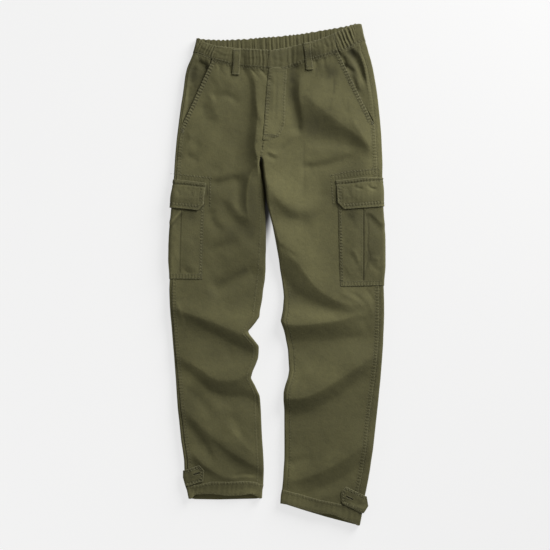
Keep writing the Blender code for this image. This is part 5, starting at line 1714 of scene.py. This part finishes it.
def seam_marks(p):
    """Per point: distance over half width, run and strength of the nearest
    puckered seam, then the share of painted light and shade added to the cloth's colour."""
    x, y = p["plan"]
    out = np.zeros(x.shape + (4,))
    name = p["name"]
    # the fourth value: painted light and shade for the cloth's colour, patches and crease lines first
    out[..., 3] = painted_patches(x, y) + crease_light_and_shade(name, x, y)
    side = name[-1]
    paths = []
    if name.startswith(("front_panel", "pocket_facing", "fly")):
        down = y - FRONT_SEAM(x)
        # painted shade under the band's foot and in the stitch row below it, with a painted highlight between
        out[..., 3] += -.24 * np.exp(-((down - .9) / .55) ** 2) \
            + .12 * np.exp(-((down - 1.8) / .5) ** 2) \
            - .20 * np.exp(-((down - 2.8) / .55) ** 2)
    elif name.startswith("waistband"):
        down = FRONT_SEAM(x) - y
        # painted shade along the band's stitch row, with a painted highlight next to the seam
        out[..., 3] += np.where(p["grid"][..., 2] > .006, 1, 0) * (
            -.20 * np.exp(-((down - 1.3) / .5) ** 2)
            + .12 * np.exp(-((down - .5) / .4) ** 2))
    elif name.startswith("belt_loop"):
        part = np.abs(np.linspace(-.5, .5, x.shape[1]))[None]
        # painted shade: dark lines along the loop's stitch rows and edges
        out[..., 3] += -.26 * np.exp(-((part - .31) / .06) ** 2) \
            - .10 * np.exp(-((part - .5) / .06) ** 2)
    if name.startswith("front_panel"):
        paths = seam_paths(side) + OTHER_SEAMS[:2] \
            + [(q, .75, .9) for q in BACKING[side]] \
            + [(spline(PUCKERED[side]), 2.2, .5 if side == "R" else .25)]
    elif name.startswith("pocket_facing"):
        paths = [(with_y(lambda y: side_x(side, y), np.linspace(
            38, POCKET_FOOT[side], 24), -SIDE[side] * 1.8), 2.2,
            .25 if side == "R" else .1), (WAIST_ROWS[side], 1.6, .55)]
    elif name.startswith("waistband"):
        paths = [(WAIST_ROWS[q], 1.6, .55) for q in ("L", "R")
                 if side not in "LR" or q == side]
    elif name == "fly_placket":
        paths = [OTHER_SEAMS[0], OTHER_SEAMS[2]]
    elif name.startswith("cargo_pocket"):
        c = CARGO[side]
        sg = SIDE[side]
        inner_ = (x - c["edge"](y)) * sg
        # painted shade along the pocket's inner edge
        out[..., 3] -= .40 * np.exp(-((inner_ - .35) / .5) ** 2)
        foot_xs = np.linspace(c["edge"](276.0) + sg * 1, 168 if side == "L"
                              else 385, 8)
        paths = [(with_y(c["edge"], np.linspace(206, 280, 10), sg * 2.15),
                  1.1, .95),
                 (np.stack([foot_xs, c["foot"][0] - 2.9 + 0 * foot_xs], -1),
                  2.5, .5)]
        p_ = (x - c["pleat"](y)) * sg
        lined = smooth((y - 208) / 3) * smooth((c["foot"][0] - 5 - y) / 2)
        # painted shade along the pleat's fold line and, on the right, its stitch row
        out[..., 3] += lined * (
            (-.42 if side == "R" else -.34)
            * np.exp(-((p_ - .1) / .6) ** 2)
            + (-.16 if side == "R" else 0)
            * np.exp(-((p_ + 2.0) / .5) ** 2))
        # on the right, painted shade along a crease of the pocket
        if side == "R":
            d_, _, _ = near(spline(pairs("365.5,212 368.2,228 367.6,246 "
                                         "368.4,256 366.6,266 364.8,275")),
                            x, y)
            out[..., 3] -= .22 * lined * np.exp(-(d_ / .6) ** 2)
    elif name.startswith("cargo_flap"):
        f = FLAP[side]
        sg = SIDE[side]
        xs = np.linspace(198, 172, 9) if side == "L" else \
            np.linspace(345, 384, 9)
        foot = np.stack([xs, f["foot"](xs) - 3.9], -1)
        ys = np.linspace(189, 201, 5)
        rim = np.stack([f["edge"](ys) + sg * 3.45, ys], -1)
        xs = np.linspace(203, 170, 9) if side == "L" else \
            np.linspace(338, 384, 9)
        head = np.stack([xs, f["head"](xs) + 3.15], -1)
        paths = [(foot, 1.5, .7), (rim, 1.45, .6), (head, 1.55, .6)]
        below = y - f["head"](x)
        inner_, above = np.abs(x - f["edge"](y)), f["foot"](x) - y
        edge_ = np.exp(-((above - .7) / .7) ** 2)
        if side == "R":
            edge_ = np.maximum(edge_, np.exp(-((inner_ - .7) / .7) ** 2))
        # painted highlight along the flap's foot rim and the right flap's inner rim, painted shade in two lines
        # across the header
        out[..., 3] += .26 * edge_ * smooth((y - 188) / 3) \
            - .24 * np.exp(-((below - 1.1) / .5) ** 2) \
            - .18 * np.exp(-((below - 3.4) / .5) ** 2)
    elif name.startswith("hem_tab"):
        paths = [(inset(tab_rim(side), 2.2), 1.0, .95)]
        rim = p["rim"]
        # painted shade in the buttonhole slit and in the stitch rows by the rim, painted highlight beside them;
        # the noise is random tone
        out[..., 3] += -.72 * np.exp(-(p["slit"] / .75) ** 2) \
            + .16 * np.exp(-((p["slit"] - 1.5) / .5) ** 2) \
            - .26 * np.exp(-((rim - 1.35) / .42) ** 2) \
            + .14 * np.exp(-((rim - 2.2) / .42) ** 2) \
            - .24 * np.exp(-((rim - 3.05) / .42) ** 2) \
            + .14 * noise(x, y, 2.2, 58)
    elif name.startswith("hem_band"):
        xs = np.linspace(186, 264, 12) if side == "L" else \
            np.linspace(278, 362, 12)
        # painted light on the front's lower lip beside the shaded opening
        out[-2:, :74, 3] += .40
        q = np.stack([xs, HEM_SEAM[side](xs) + 1.6], -1)
        paths = [(q, 1.7, .5)]
    best = np.full(x.shape, 1e9)
    for path, half, strong in paths:
        size = np.hypot(*np.diff(path, axis=0).T).sum()
        m = ((x > path[:, 0].min() - 9) & (x < path[:, 0].max() + 9)
             & (y > path[:, 1].min() - 9) & (y < path[:, 1].max() + 9))
        if not m.any():
            continue
        d, run, _ = near(path, x[m], y[m])
        ends = smooth(run / 3 + 1) * smooth((size - run) / 3 + 1)
        d = d / half
        better = np.abs(d) < best[m]
        idx = np.where(m)
        idx = tuple(i[better] for i in idx)
        best[idx] = np.abs(d)[better]
        out[idx + (0,)] = np.clip(d[better], -4, 4)
        out[idx + (1,)] = run[better]
        out[idx + (2,)] = (strong * ends)[better]
    return out


# ----------------------------------------------------------- threads
def on_grid(p, rows, cols):
    """Points and ways out of a piece at fractional rows and columns."""
    g = p["grid"]
    n = p["normals"]
    rows = np.clip(rows, 0, g.shape[0] - 1.001)
    cols = np.clip(cols, 0, g.shape[1] - 1.001)
    i, j = rows.astype(int), cols.astype(int)
    u, v = (rows - i)[:, None], (cols - j)[:, None]
    out = []
    for a in (g, n):
        out.append((a[i, j] * (1 - v) + a[i, j + 1] * v) * (1 - u)
                   + (a[i + 1, j] * (1 - v) + a[i + 1, j + 1] * v) * u)
    return out


def beside(p, which, away, start=0.0, end=1.0):
    """A line beside an edge of a piece, away squares in from it."""
    g = p["grid"]
    turned = which in ("top", "foot")
    a = np.swapaxes(g, 0, 1) if turned else g
    back = which in ("foot", "end")
    if back:
        a = a[:, ::-1]
    size = np.linalg.norm(np.diff(a[..., :2], axis=1), axis=2)
    run = np.concatenate([np.zeros((len(a), 1)), np.cumsum(size, 1)], 1) / SQ
    lines = np.arange(len(a), dtype=float)
    m = (lines >= start * (len(a) - 1)) & (lines <= end * (len(a) - 1))
    at = np.array([np.interp(away, r, np.arange(a.shape[1])) for r in run])
    if back:
        at = a.shape[1] - 1 - at
    lines, at = lines[m], at[m]
    if turned:
        return on_grid(p, at, lines)
    return on_grid(p, lines, at)


def on_plan(fn, path, rise=0.0):
    """A line over a height function, through plan points."""
    q = spline(path, 8)
    x, y = q[:, 0], q[:, 1]
    z = fn(x, y) + rise
    gx = (fn(x + .3, y) - fn(x - .3, y)) / (.6 * SQ)
    gy = (fn(x, y + .3) - fn(x, y - .3)) / (.6 * SQ)
    n = np.stack([-gx, gy, np.ones(len(x))], -1)
    n /= np.linalg.norm(n, axis=1, keepdims=True)
    return place(x, y, z), n


def stitch_run(line, pitch=2.7, fill=.66, thick=.00034, rise=.00012):
    """Centres, ways, ups and half sizes of the stitches on a line."""
    pts, out = line
    step = np.linalg.norm(np.diff(pts, axis=0), axis=1)
    run = np.concatenate([[0], np.cumsum(step)])
    keep = np.concatenate([[True], step > 1e-9])
    pts, out, run = pts[keep], out[keep], run[keep]
    count = max(1, int(run[-1] / (pitch * SQ)))
    each = run[-1] / count
    mid = (np.arange(count) + .5) * each

    def at(values, t):
        return np.stack([np.interp(t, run, values[:, k])
                         for k in range(3)], -1)
    a, b = at(pts, mid - each * fill / 2), at(pts, mid + each * fill / 2)
    up = at(out, mid)
    return dict(a=a, b=b, up=up, thick=np.full(count, thick), rise=rise)


def thread_mesh(name, runs):
    """All stitches of a piece as one mesh of rounded grains."""
    a = np.concatenate([r["a"] for r in runs])
    b = np.concatenate([r["b"] for r in runs])
    up = np.concatenate([r["up"] for r in runs])
    thick = np.concatenate([r["thick"] for r in runs])[:, None]
    rise = np.concatenate([np.full(len(r["a"]), r["rise"])
                           for r in runs])[:, None]
    way = b - a
    half = np.linalg.norm(way, axis=1, keepdims=True) / 2
    way = way / (2 * half + 1e-12)
    out = np.cross(way, up)
    out /= np.linalg.norm(out, axis=1, keepdims=True) + 1e-12
    up = np.cross(out, way)
    mid = (a + b) / 2 + up * rise
    rings = [(-1.0, .0), (-.72, .75), (0, 1.0), (.72, .75), (1.0, .0)]
    verts, faces, base = [], [], 0
    k = 5
    for t, r in rings:
        if r == 0:
            verts.append(mid + way * half * t - up * thick * .8)
        else:
            for c in range(k):
                w = 2 * math.pi * c / k
                verts.append(mid + way * half * t
                             + (out * math.cos(w) + up * math.sin(w) * .9)
                             * thick * r - up * thick * (1 - r) * .8)
    v = np.stack(verts, 1)
    per = v.shape[1]
    one = []
    for c in range(k):
        d = (c + 1) % k
        one.append((0, 1 + d, 1 + c))
        for q in (1, 1 + k):
            one += [(q + c, q + d, q + k + d), (q + c, q + k + d, q + k + c)]
        one.append((1 + 2 * k + c, 1 + 2 * k + d, per - 1))
    one = np.array(one)
    f = (one[None] + (np.arange(len(v)) * per)[:, None, None]).reshape(-1, 3)
    me = bpy.data.meshes.new(name)
    me.from_pydata(v.reshape(-1, 3).tolist(), [], f.tolist())
    me.shade_smooth()
    put(me, "tone", "FLOAT", np.repeat(
        0.5 + 0.5 * cell(np.arange(len(v)), np.arange(len(v)) * 0, 7), per))
    ob = bpy.data.objects.new(name, me)
    bpy.context.scene.collection.objects.link(ob)
    return ob


# ------------------------------------------------------------- materials
class Nodes:
    """Shorthand for building a node tree."""

    def __init__(self, mat):
        mat.use_nodes = True
        self.tree = mat.node_tree
        self.tree.nodes.clear()
        self.out = self.add("ShaderNodeOutputMaterial")
        self.shader = self.add("ShaderNodeBsdfPrincipled")
        self.link(self.shader.outputs[0], self.out.inputs[0])

    def add(self, kind, **settings):
        node = self.tree.nodes.new(kind)
        for key, value in settings.items():
            setattr(node, key, value)
        return node

    def link(self, a, b):
        self.tree.links.new(a, b)

    def fill(self, socket, value):
        if isinstance(value, bpy.types.NodeSocket):
            self.link(value, socket)
        else:
            socket.default_value = value

    def math(self, how, a, b=None, c=None, clamp=False):
        n = self.add("ShaderNodeMath", operation=how, use_clamp=clamp)
        for k, v in enumerate((a, b, c)):
            if v is not None:
                self.fill(n.inputs[k], v)
        return n.outputs[0]

    def noise(self, at, scale, detail=2.0, rough=0.5):
        n = self.add("ShaderNodeTexNoise")
        self.link(at, n.inputs["Vector"])
        n.inputs["Scale"].default_value = scale
        n.inputs["Detail"].default_value = detail
        n.inputs["Roughness"].default_value = rough
        return n.outputs["Fac"]

    def stretched(self, at, scale):
        n = self.add("ShaderNodeMapping")
        self.link(at, n.inputs["Vector"])
        n.inputs["Scale"].default_value = scale
        return n.outputs[0]

    def step(self, value, low, high, a=0.0, b=1.0):
        n = self.add("ShaderNodeMapRange", interpolation_type="SMOOTHSTEP")
        self.fill(n.inputs["Value"], value)
        n.inputs["From Min"].default_value = low
        n.inputs["From Max"].default_value = high
        n.inputs["To Min"].default_value = a
        n.inputs["To Max"].default_value = b
        return n.outputs[0]

    def mix(self, share, a, b):
        n = self.add("ShaderNodeMix", data_type="RGBA")
        self.fill(n.inputs[0], share)
        self.fill(n.inputs[6], a)
        self.fill(n.inputs[7], b)
        return n.outputs[2]

    def attribute(self, name, which="Fac"):
        n = self.add("ShaderNodeAttribute", attribute_name=name)
        return n.outputs[which]


RUNG = 3.1             # squares from one pucker of a seam to the next
TWILL_PITCH = 0.0009   # metres from one rib of the twill to the next


# the colours: the cloth's own, a paler one for rubbed edges and painted highlights, and a dark one for painted
# shade in pucker hollows and stitch rows
def cloth_material(name, base, worn_lit_colour, deep, sheen):
    mat = bpy.data.materials.new(name)
    n = Nodes(mat)
    uv = n.add("ShaderNodeUVMap", uv_map="grain").outputs[0]
    place_at = n.add("ShaderNodeTexCoord").outputs["Object"]
    wear_and_highlight = n.attribute("wear_and_highlight")
    ladder = n.add("ShaderNodeSeparateXYZ")
    n.link(n.attribute("ladder", "Vector"), ladder.inputs[0])
    across, run, strong = ladder.outputs

    # the dye: broad clouds, then slubs along both threads
    clouds = n.noise(place_at, 16.0, 3.0, .55)
    mottle = n.noise(place_at, 95.0, 3.0, .6)
    slub_a = n.noise(n.stretched(uv, (900, 170, 1)), 1.0, 2.0, .5)
    slub_b = n.noise(n.stretched(uv, (150, 800, 1)), 1.0, 2.0, .5)
    grain = n.noise(place_at, 620.0, 1.0, .5)
    tone = n.math("ADD", n.math("MULTIPLY", n.math("SUBTRACT", clouds, .5),
                                .55),
                  n.math("MULTIPLY", n.math("SUBTRACT", mottle, .5), .55))
    tone = n.math("ADD", tone, n.math("MULTIPLY", n.math(
        "SUBTRACT", n.math("ADD", slub_a, slub_b), 1.0), .38))
    tone = n.math("ADD", tone, n.math("MULTIPLY", n.math(
        "SUBTRACT", grain, .5), .42))

    # puckers of a sewn seam: rungs between its two rows of stitches
    gap = n.math("ABSOLUTE", across)
    inside = n.step(gap, .70, 1.25, 1.0, 0.0)
    shaken = n.math("ADD", run, n.math("MULTIPLY", n.noise(
        place_at, 130.0, 1.0), 1.6))
    wave = n.math("COSINE", n.math("MULTIPLY", shaken,
                                   2 * math.pi / RUNG))
    wave = n.math("ADD", n.math("MULTIPLY", wave, .5), .5)
    pucker = n.math("MULTIPLY", n.math("MULTIPLY", inside, strong), wave)
    row = n.math("SUBTRACT", gap, .80)
    row = n.math("MULTIPLY", n.math("MULTIPLY", row, row), -30.0)
    dots = n.math("COSINE", n.math("MULTIPLY", run, 2 * math.pi / 2.9))
    dots = n.math("ADD", n.math("MULTIPLY", dots, .42), .58)
    row = n.math("MULTIPLY", n.math("MULTIPLY", n.math("EXPONENT", row),
                                    dots), strong)

    # rubbed edges are paler, partly a painted highlight on the rims, and the crests of the puckers get a
    # painted highlight
    rub = n.noise(place_at, 240.0, 2.0, .6)
    worn = n.math("MULTIPLY", n.step(rub, .30, .62), wear_and_highlight)
    worn = n.math("ADD", n.math("MULTIPLY", worn, .55),
                  n.math("MULTIPLY", n.math("MULTIPLY", pucker, pucker),
                         .20), clamp=True)
    # painted shade in the puckers' hollows and along the stitch rows
    dip = n.math("SUBTRACT", 1.0, wave)
    painted_shade = n.math("MULTIPLY", n.math("MULTIPLY", dip, dip), .54)
    painted_shade = n.math("MULTIPLY", n.math("MULTIPLY", painted_shade, inside), strong)
    painted_shade = n.math("ADD", painted_shade, n.math("MULTIPLY", row, .42), clamp=True)

    level = n.step(n.math("ADD", tone, .5), 0.18, .82)
    body = n.mix(level, (*[c * .86 for c in base], 1),
                 (*[c * 1.14 for c in base], 1))
    # painted light and shade: the cloth's colour scaled by one plus the fade attribute
    painted_body = n.add("ShaderNodeVectorMath", operation="SCALE")
    n.link(body, painted_body.inputs[0])
    n.fill(painted_body.inputs["Scale"], n.math("ADD", n.attribute("fade"), 1.0))
    body = n.mix(worn, painted_body.outputs[0], (*worn_lit_colour, 1))
    body = n.mix(painted_shade, body, (*deep, 1))
    n.link(body, n.shader.inputs["Base Color"])
    rough = n.step(mottle, .3, .7, .86, .96)
    n.link(rough, n.shader.inputs["Roughness"])
    n.shader.inputs["Specular IOR Level"].default_value = .22
    n.shader.inputs["Sheen Weight"].default_value = sheen
    n.shader.inputs["Sheen Roughness"].default_value = .55
    n.shader.inputs["Sheen Tint"].default_value = (.80, .78, .62, 1)

    # relief, in metres: twill ribs, slubs, small crumples and the seams
    xy = n.add("ShaderNodeSeparateXYZ")
    n.link(uv, xy.inputs[0])
    diagonal = n.math("ADD", n.math("MULTIPLY", xy.outputs[0], .82),
                      n.math("MULTIPLY", xy.outputs[1], -.57))
    rib = n.math("SINE", n.math("MULTIPLY", diagonal,
                                2 * math.pi / TWILL_PITCH))
    height = n.math("MULTIPLY", rib, .00002)
    height = n.math("ADD", height, n.math("MULTIPLY", n.math(
        "ADD", slub_a, slub_b), .00011))
    height = n.math("ADD", height, n.math("MULTIPLY", grain, .00010))
    height = n.math("ADD", height, n.math("MULTIPLY", mottle, .00055))
    height = n.math("ADD", height, n.math("MULTIPLY", pucker, .00055))
    height = n.math("SUBTRACT", height, n.math("MULTIPLY", row, .00038))
    bump_node = n.add("ShaderNodeBump")
    bump_node.inputs["Strength"].default_value = 1.0
    bump_node.inputs["Distance"].default_value = 1.0
    n.link(height, bump_node.inputs["Height"])
    n.link(bump_node.outputs[0], n.shader.inputs["Normal"])
    return mat


def thread_material(name, base):
    mat = bpy.data.materials.new(name)
    n = Nodes(mat)
    at = n.add("ShaderNodeTexCoord").outputs["Object"]
    tone = n.math("ADD", n.math("MULTIPLY", n.attribute("tone"), .6),
                  n.math("MULTIPLY", n.noise(at, 900.0, 1.0), .4))
    n.link(n.mix(tone, (*[c * .72 for c in base], 1),
                 (*[c * 1.30 for c in base], 1)),
           n.shader.inputs["Base Color"])
    twist = n.noise(n.stretched(at, (4000, 4000, 4000)), 1.0, 1.0)
    bump_node = n.add("ShaderNodeBump")
    bump_node.inputs["Strength"].default_value = .6
    bump_node.inputs["Distance"].default_value = .0002
    n.link(twist, bump_node.inputs["Height"])
    n.link(bump_node.outputs[0], n.shader.inputs["Normal"])
    n.shader.inputs["Roughness"].default_value = .7
    n.shader.inputs["Specular IOR Level"].default_value = .3
    n.shader.inputs["Sheen Weight"].default_value = .05
    return mat


MATS = {
    "twill": cloth_material("olive_twill", (.0870, .0815, .0364),
                            (.170, .163, .098), (.030, .028, .013), .03),
    "band": cloth_material("olive_twill_band", (.0828, .0775, .0350),
                           (.170, .163, .098), (.028, .026, .012), .03),
    "trim": cloth_material("olive_twill_trim", (.0890, .0835, .0378),
                           (.178, .171, .104), (.030, .028, .013), .03),
    "thread": thread_material("olive_thread", (.118, .112, .060)),
}


# ------------------------------------------------------------- stitching
def stitches(parts):
    """The rows of stitches of every piece that has them."""
    out = {}

    def add(name, *lines, **how):
        out.setdefault(name, []).extend(stitch_run(q, **how) for q in lines)

    for side in ("L", "R"):
        sg = SIDE[side]
        p = parts["front_panel_" + side]
        add(p["name"], beside(p, "start", .8), beside(p, "start", 3.9),
            pitch=2.3)
        add(p["name"], beside(p, "end", .8, .31 if side == "L" else .52,
                              1.0), pitch=2.6)
        for path in BACKING[side]:
            add(p["name"], on_plan(lambda x, y: skin(side, x, y), path),
                pitch=2.5)
        # bar tack at the foot of the hand pocket
        y = POCKET_FOOT[side] + 3.0
        x = float(side_x(side, y)) - sg * 2.2
        for k in range(9):
            t = (k - 4) * .42
            add(p["name"], on_plan(
                lambda a, b: skin(side, a, b),
                np.array([[x - sg * 2.0, y + t], [x - sg * .2, y + t + .05],
                          [x + sg * 1.4, y + t + .1]]), .0002),
                pitch=3.6, fill=.96, thick=.00036)
        p = parts["cargo_pocket_" + side]
        front = .55 if side == "L" else .62
        add(p["name"], beside(p, "start", 1.3, .14, .985),
            beside(p, "start", 3.0, .14, .96),
            beside(p, "foot", .9, 0, front),
            beside(p, "foot", 4.9, 0, front), pitch=2.9)
        if side == "R":
            add(p["name"], on_plan(
                lambda a, b: top("R", a, b)
                + pocket_level("R", a, b, 10 + 0 * a),
                pairs("361.7,211 361.5,232 361.6,256 361.5,279")), pitch=2.9)
        p = parts["cargo_flap_" + side]
        rows = p["grid"].shape[0] - 1
        # rows on the front and round the edge, not on what lies underneath
        shown = .53 if side == "L" else .60
        add(p["name"], beside(p, "start", 2.3, .26, .9),
            beside(p, "start", 4.6, .34, .82),
            beside(p, "foot", 2.7, .02, shown),
            beside(p, "foot", 5.1, .06, shown),
            beside(p, "top", 1.9, 0, shown), beside(p, "top", 4.4, 0, shown),
            pitch=2.9)
        p = parts["hem_band_" + side]
        front = 74 / p["grid"].shape[1]
        add(p["name"], beside(p, "top", 1.1, 0, front),
            beside(p, "foot", 1.3, 0, front), pitch=2.5)
        p = parts["hem_tab_" + side]
        for away in (1.4, 3.0):
            add(p["name"], on_piece(p, inset(tab_rim(side), away)),
                pitch=2.1, fill=.6)
        add(p["name"], *buttonhole(p, side), pitch=.8, fill=.95,
            thick=.00034)
        p = parts["waistband_front_" + side]
        add(p["name"], beside(p, "foot", 1.4), beside(p, "top", 1.3),
            pitch=2.7)
        p = parts["front_panel_" + side]
        xs = np.linspace(213, 268, 12) if side == "L" else \
            np.linspace(271, 336, 14)
        add(p["name"], on_plan(lambda x, y: skin(side, x, y), np.stack(
            [xs, FRONT_SEAM(xs) + 1.3], -1)), pitch=2.7)
        p = parts["back_panel_" + side]
        add(p["name"], beside(p, "start", 2.6), pitch=2.6)
    p = parts["fly_placket"]
    add(p["name"], beside(p, "end", 1.0), beside(p, "end", 3.2),
        beside(p, "start", 1.3), pitch=2.4)
    # the bar tack across the fly's foot
    for k in range(12):
        x = 265.2 + 1.16 * k
        add(p["name"], on_plan(lambda a, b: skin("R", a, b), np.array(
            [[x, 134.6], [x + .3, 136], [x + .5, 137.6]]),
            .0012 if x < 276 else .0006), pitch=4, fill=.95, thick=.00032)
    for y in (134.9, 137.3):
        add(p["name"], on_plan(lambda a, b: skin("R", a, b), np.array(
            [[264.8, y], [270, y], [275.5, y]]), .0012), pitch=2.0,
            fill=.9, thick=.0003)
    p = parts["waistband_back"]
    n = p["grid"].shape[1]
    for a, b in ((0, 60 / n), (86 / n, 402 / n), (1 - 70 / n, 1)):
        add(p["name"], beside(p, "foot", 1.4, a, b), pitch=2.7)
        if b - a > .4:
            add(p["name"], beside(p, "foot", 7.0, a, b),
                beside(p, "foot", 12.6, a, b), beside(p, "top", 1.3, a, b),
                pitch=2.6)
    for name in LOOPS:
        p = parts[name]
        add(name, beside(p, "start", 1.2), beside(p, "end", 1.2),
            pitch=2.2)
        for k in (.93, 1.5, 23.2, 23.9):
            add(name, beside(p, "top", k, .1, .9), pitch=1.3, fill=.9,
                thick=.0003)
    return out


def on_piece(p, path):
    """A line over a piece, through plan points."""
    x, y = p["plan"]
    pts, outs = [], []
    for qx, qy in path:
        m = np.unravel_index(np.argmin((x - qx) ** 2 + (y - qy) ** 2),
                             x.shape)
        pts.append([(qx - MID_X) * SQ, (MID_Y - qy) * SQ, p["grid"][m][2]])
        outs.append(p["normals"][m])
    return np.array(pts), np.array(outs)


def buttonhole(p, side):
    """Short stitches across both lips of the slit."""
    (ax, ay), (bx, by) = TAB[side]["slit"]
    lines = []
    g, n = p["grid"], p["normals"]
    px, py = p["plan"]
    dx, dy = bx - ax, by - ay
    size = math.hypot(dx, dy)
    dx, dy = dx / size, dy / size
    for face in (-1, 1):
        for k in range(int(size / .42) + 1):
            t = k * .42
            pts, outs = [], []
            for w in (.55, .95, 1.35):
                qx = ax + dx * t - dy * w * face
                qy = ay + dy * t + dx * w * face
                m = np.unravel_index(np.argmin((px - qx) ** 2
                                               + (py - qy) ** 2), px.shape)
                z = g[m][2]
                pts.append([(qx - MID_X) * SQ, (MID_Y - qy) * SQ, z])
                outs.append(n[m])
            lines.append((np.array(pts), np.array(outs)))
    return lines


# ------------------------------------------------------------- build it
def area_of(grid):
    a = np.cross(grid[1:, :-1] - grid[:-1, :-1], grid[:-1, 1:]
                 - grid[:-1, :-1])
    b = np.cross(grid[1:, :-1] - grid[1:, 1:], grid[:-1, 1:] - grid[1:, 1:])
    return float((np.linalg.norm(a, axis=2).sum()
                  + np.linalg.norm(b, axis=2).sum()) / 2)


# Flat size of the cut that shows: width and length in metres, share of that
# rectangle which is cloth, how it is held, and what it lies on.
CUTS = {
    "front_panel_L": (.188, .925, None, "laid", ["back_panel"]),
    "front_panel_R": (.246, .992, None, "laid", ["back_panel"]),
    "back_panel_L": (.248, .970, None, "laid", []),
    "back_panel_R": (.308, .996, None, "laid", []),
    "pocket_facing_L": (.054, .173, None, "laid", ["back_panel"]),
    "pocket_facing_R": (.065, .177, None, "laid", ["back_panel"]),
    "fly_placket": (.044, .170, None, "laid", ["front_panel_R"]),
    "waistband_front_L": (.126, .041, None, "gathered", ["waistband_back"]),
    "waistband_front_R": (.156, .046, None, "gathered", ["waistband_back"]),
    "waistband_back": (.512, .044, None, "gathered", []),
    "belt_loop": (.0163, .058, None, "laid", ["waistband_front"]),
    "cargo_pocket_L": (.155, .198, None, "laid", ["front_panel"]),
    "cargo_pocket_R": (.177, .213, None, "laid", ["front_panel"]),
    "cargo_flap_L": (.162, .063, None, "laid", ["cargo_pocket"]),
    "cargo_flap_R": (.185, .066, None, "laid", ["cargo_pocket"]),
    "hem_band_L": (.352, .040, None, "laid", []),
    "hem_band_R": (.372, .039, None, "laid", []),
    "hem_tab_L": (.064, .038, None, "laid", ["hem_band"]),
    "hem_tab_R": (.075, .042, None, "laid", ["hem_band"]),
}


def cut_of(name):
    for key in sorted(CUTS, key=len, reverse=True):
        if name.startswith(key):
            return CUTS[key]
    raise KeyError(name)


PARTS = {p["name"]: p for p in all_pieces()}
TOTAL = 0
for NAME, PART in PARTS.items():
    PART["normals"] = normals(PART["grid"], PART.get("ring", False),
                              PART.get("flip", False))
    OB = cloth_mesh(PART)
    OB.data.materials.append(MATS[PART["mat"]])
    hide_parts(NAME)
    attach(OB, "root")
    TRIS = sum(len(f.vertices) - 2 for f in OB.data.polygons)
    TOTAL += TRIS
    PART["tris"] = TRIS
    PART["area"] = area_of(PART["grid"])
for NAME, RUNS in stitches(PARTS).items():
    OB = thread_mesh("stitches_" + NAME, RUNS)
    OB.data.materials.append(MATS["thread"])
    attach(OB, "root")
    PARTS[NAME]["thread"] = OB
    TRIS = len(OB.data.polygons)
    TOTAL += TRIS
print("triangles", TOTAL, {k: p["tris"] for k, p in PARTS.items()})
print("areas", {k: round(p["area"], 5) for k, p in PARTS.items()})

for NAME, PART in PARTS.items():
    WIDE, LONG, SHARE, HOLD, UNDER = cut_of(NAME)
    [PART["thread"]] if "thread" in PART else []


# ------------------------------------------------------------- the studio
def floor():
    me = bpy.data.meshes.new("floor")
    s, z = 6.0, -0.0002
    me.from_pydata([(-s, -s, z), (s, -s, z), (s, s, z), (-s, s, z)], [],
                   [(0, 1, 2, 3)])
    ob = bpy.data.objects.new("floor", me)
    bpy.context.scene.collection.objects.link(ob)
    mat = bpy.data.materials.new("pale_floor")
    n = Nodes(mat)
    n.shader.inputs["Base Color"].default_value = (.22, .22, .22, 1)
    n.shader.inputs["Roughness"].default_value = .95
    n.shader.inputs["Specular IOR Level"].default_value = .1
    n.shader.inputs["Emission Color"].default_value = (1, 1, 1, 1)
    # a soft shade between the legs
    at = n.add("ShaderNodeTexCoord").outputs["Object"]
    shade = n.add("ShaderNodeMapping")
    n.link(at, shade.inputs["Vector"])
    shade.inputs["Location"].default_value = (
        (MID_X - 264.6) / 8.5, (189 - MID_Y) / 54, 0)
    shade.inputs["Scale"].default_value = (1 / (8.5 * SQ), 1 / (54 * SQ), 1)
    far = n.add("ShaderNodeVectorMath", operation="LENGTH")
    n.link(shade.outputs[0], far.inputs[0])
    part = n.add("ShaderNodeSeparateXYZ")
    n.link(at, part.inputs[0])
    even = n.math("ADD", n.math("MULTIPLY", part.outputs[0], -.052),
                  n.math("MULTIPLY", part.outputs[1], -.043))
    glow = n.math("ADD", even, FLOOR_GLOW)
    n.link(n.math("MULTIPLY", glow, n.step(far.outputs["Value"], .58, 1.2)),
           n.shader.inputs["Emission Strength"])
    me.materials.append(mat)
    return ob


FLOOR_GLOW = 0.689
KEY = 2.36               # light on the floor from the lamp, W per square metre
FAR, WIDE_LAMP = 3.4, 2.2
WORLD = 0.20
AZIMUTH, ELEVATION = 48, 22
FILL = 0.12              # the same of the weak low lamp opposite

floor()


def soft_lamp(name, level, azimuth, elevation):
    lamp = bpy.data.lights.new(name, "AREA")
    lamp.shape = "DISK"
    lamp.size = WIDE_LAMP
    up = math.radians(elevation)
    round_ = math.radians(azimuth)
    lamp.energy = level / math.sin(up) * math.pi * FAR ** 2
    lamp.color = (1.0, .995, .985)
    ob = bpy.data.objects.new(name, lamp)
    way = Vector((math.cos(up) * math.cos(round_),
                  math.cos(up) * math.sin(round_), math.sin(up)))
    ob.location = way * FAR
    ob.rotation_euler = way.to_track_quat("Z", "Y").to_euler()
    bpy.context.scene.collection.objects.link(ob)


soft_lamp("key", KEY, AZIMUTH, ELEVATION)
soft_lamp("fill", FILL, AZIMUTH + 150, 13)
world = bpy.data.worlds.new("studio")
world.use_nodes = True
world.node_tree.nodes["Background"].inputs[0].default_value = (1, 1, 1, 1)
world.node_tree.nodes["Background"].inputs[1].default_value = WORLD
bpy.context.scene.world = world

cam_data = bpy.data.cameras.new("camera")
cam_data.lens = 135
cam_data.sensor_width = 36
cam_data.clip_end = 50
camera = bpy.data.objects.new("camera", cam_data)
camera.location = ((275 - MID_X) * SQ, (MID_Y - 275) * SQ, 4.339)
camera.rotation_euler = (0, 0, 0)
bpy.context.scene.collection.objects.link(camera)
bpy.context.scene.camera = camera
view = bpy.context.scene.view_settings
view.view_transform = "Standard"
view.look = "None"
view.exposure = 0
view.gamma = 1

bpy.context.view_layer.update()
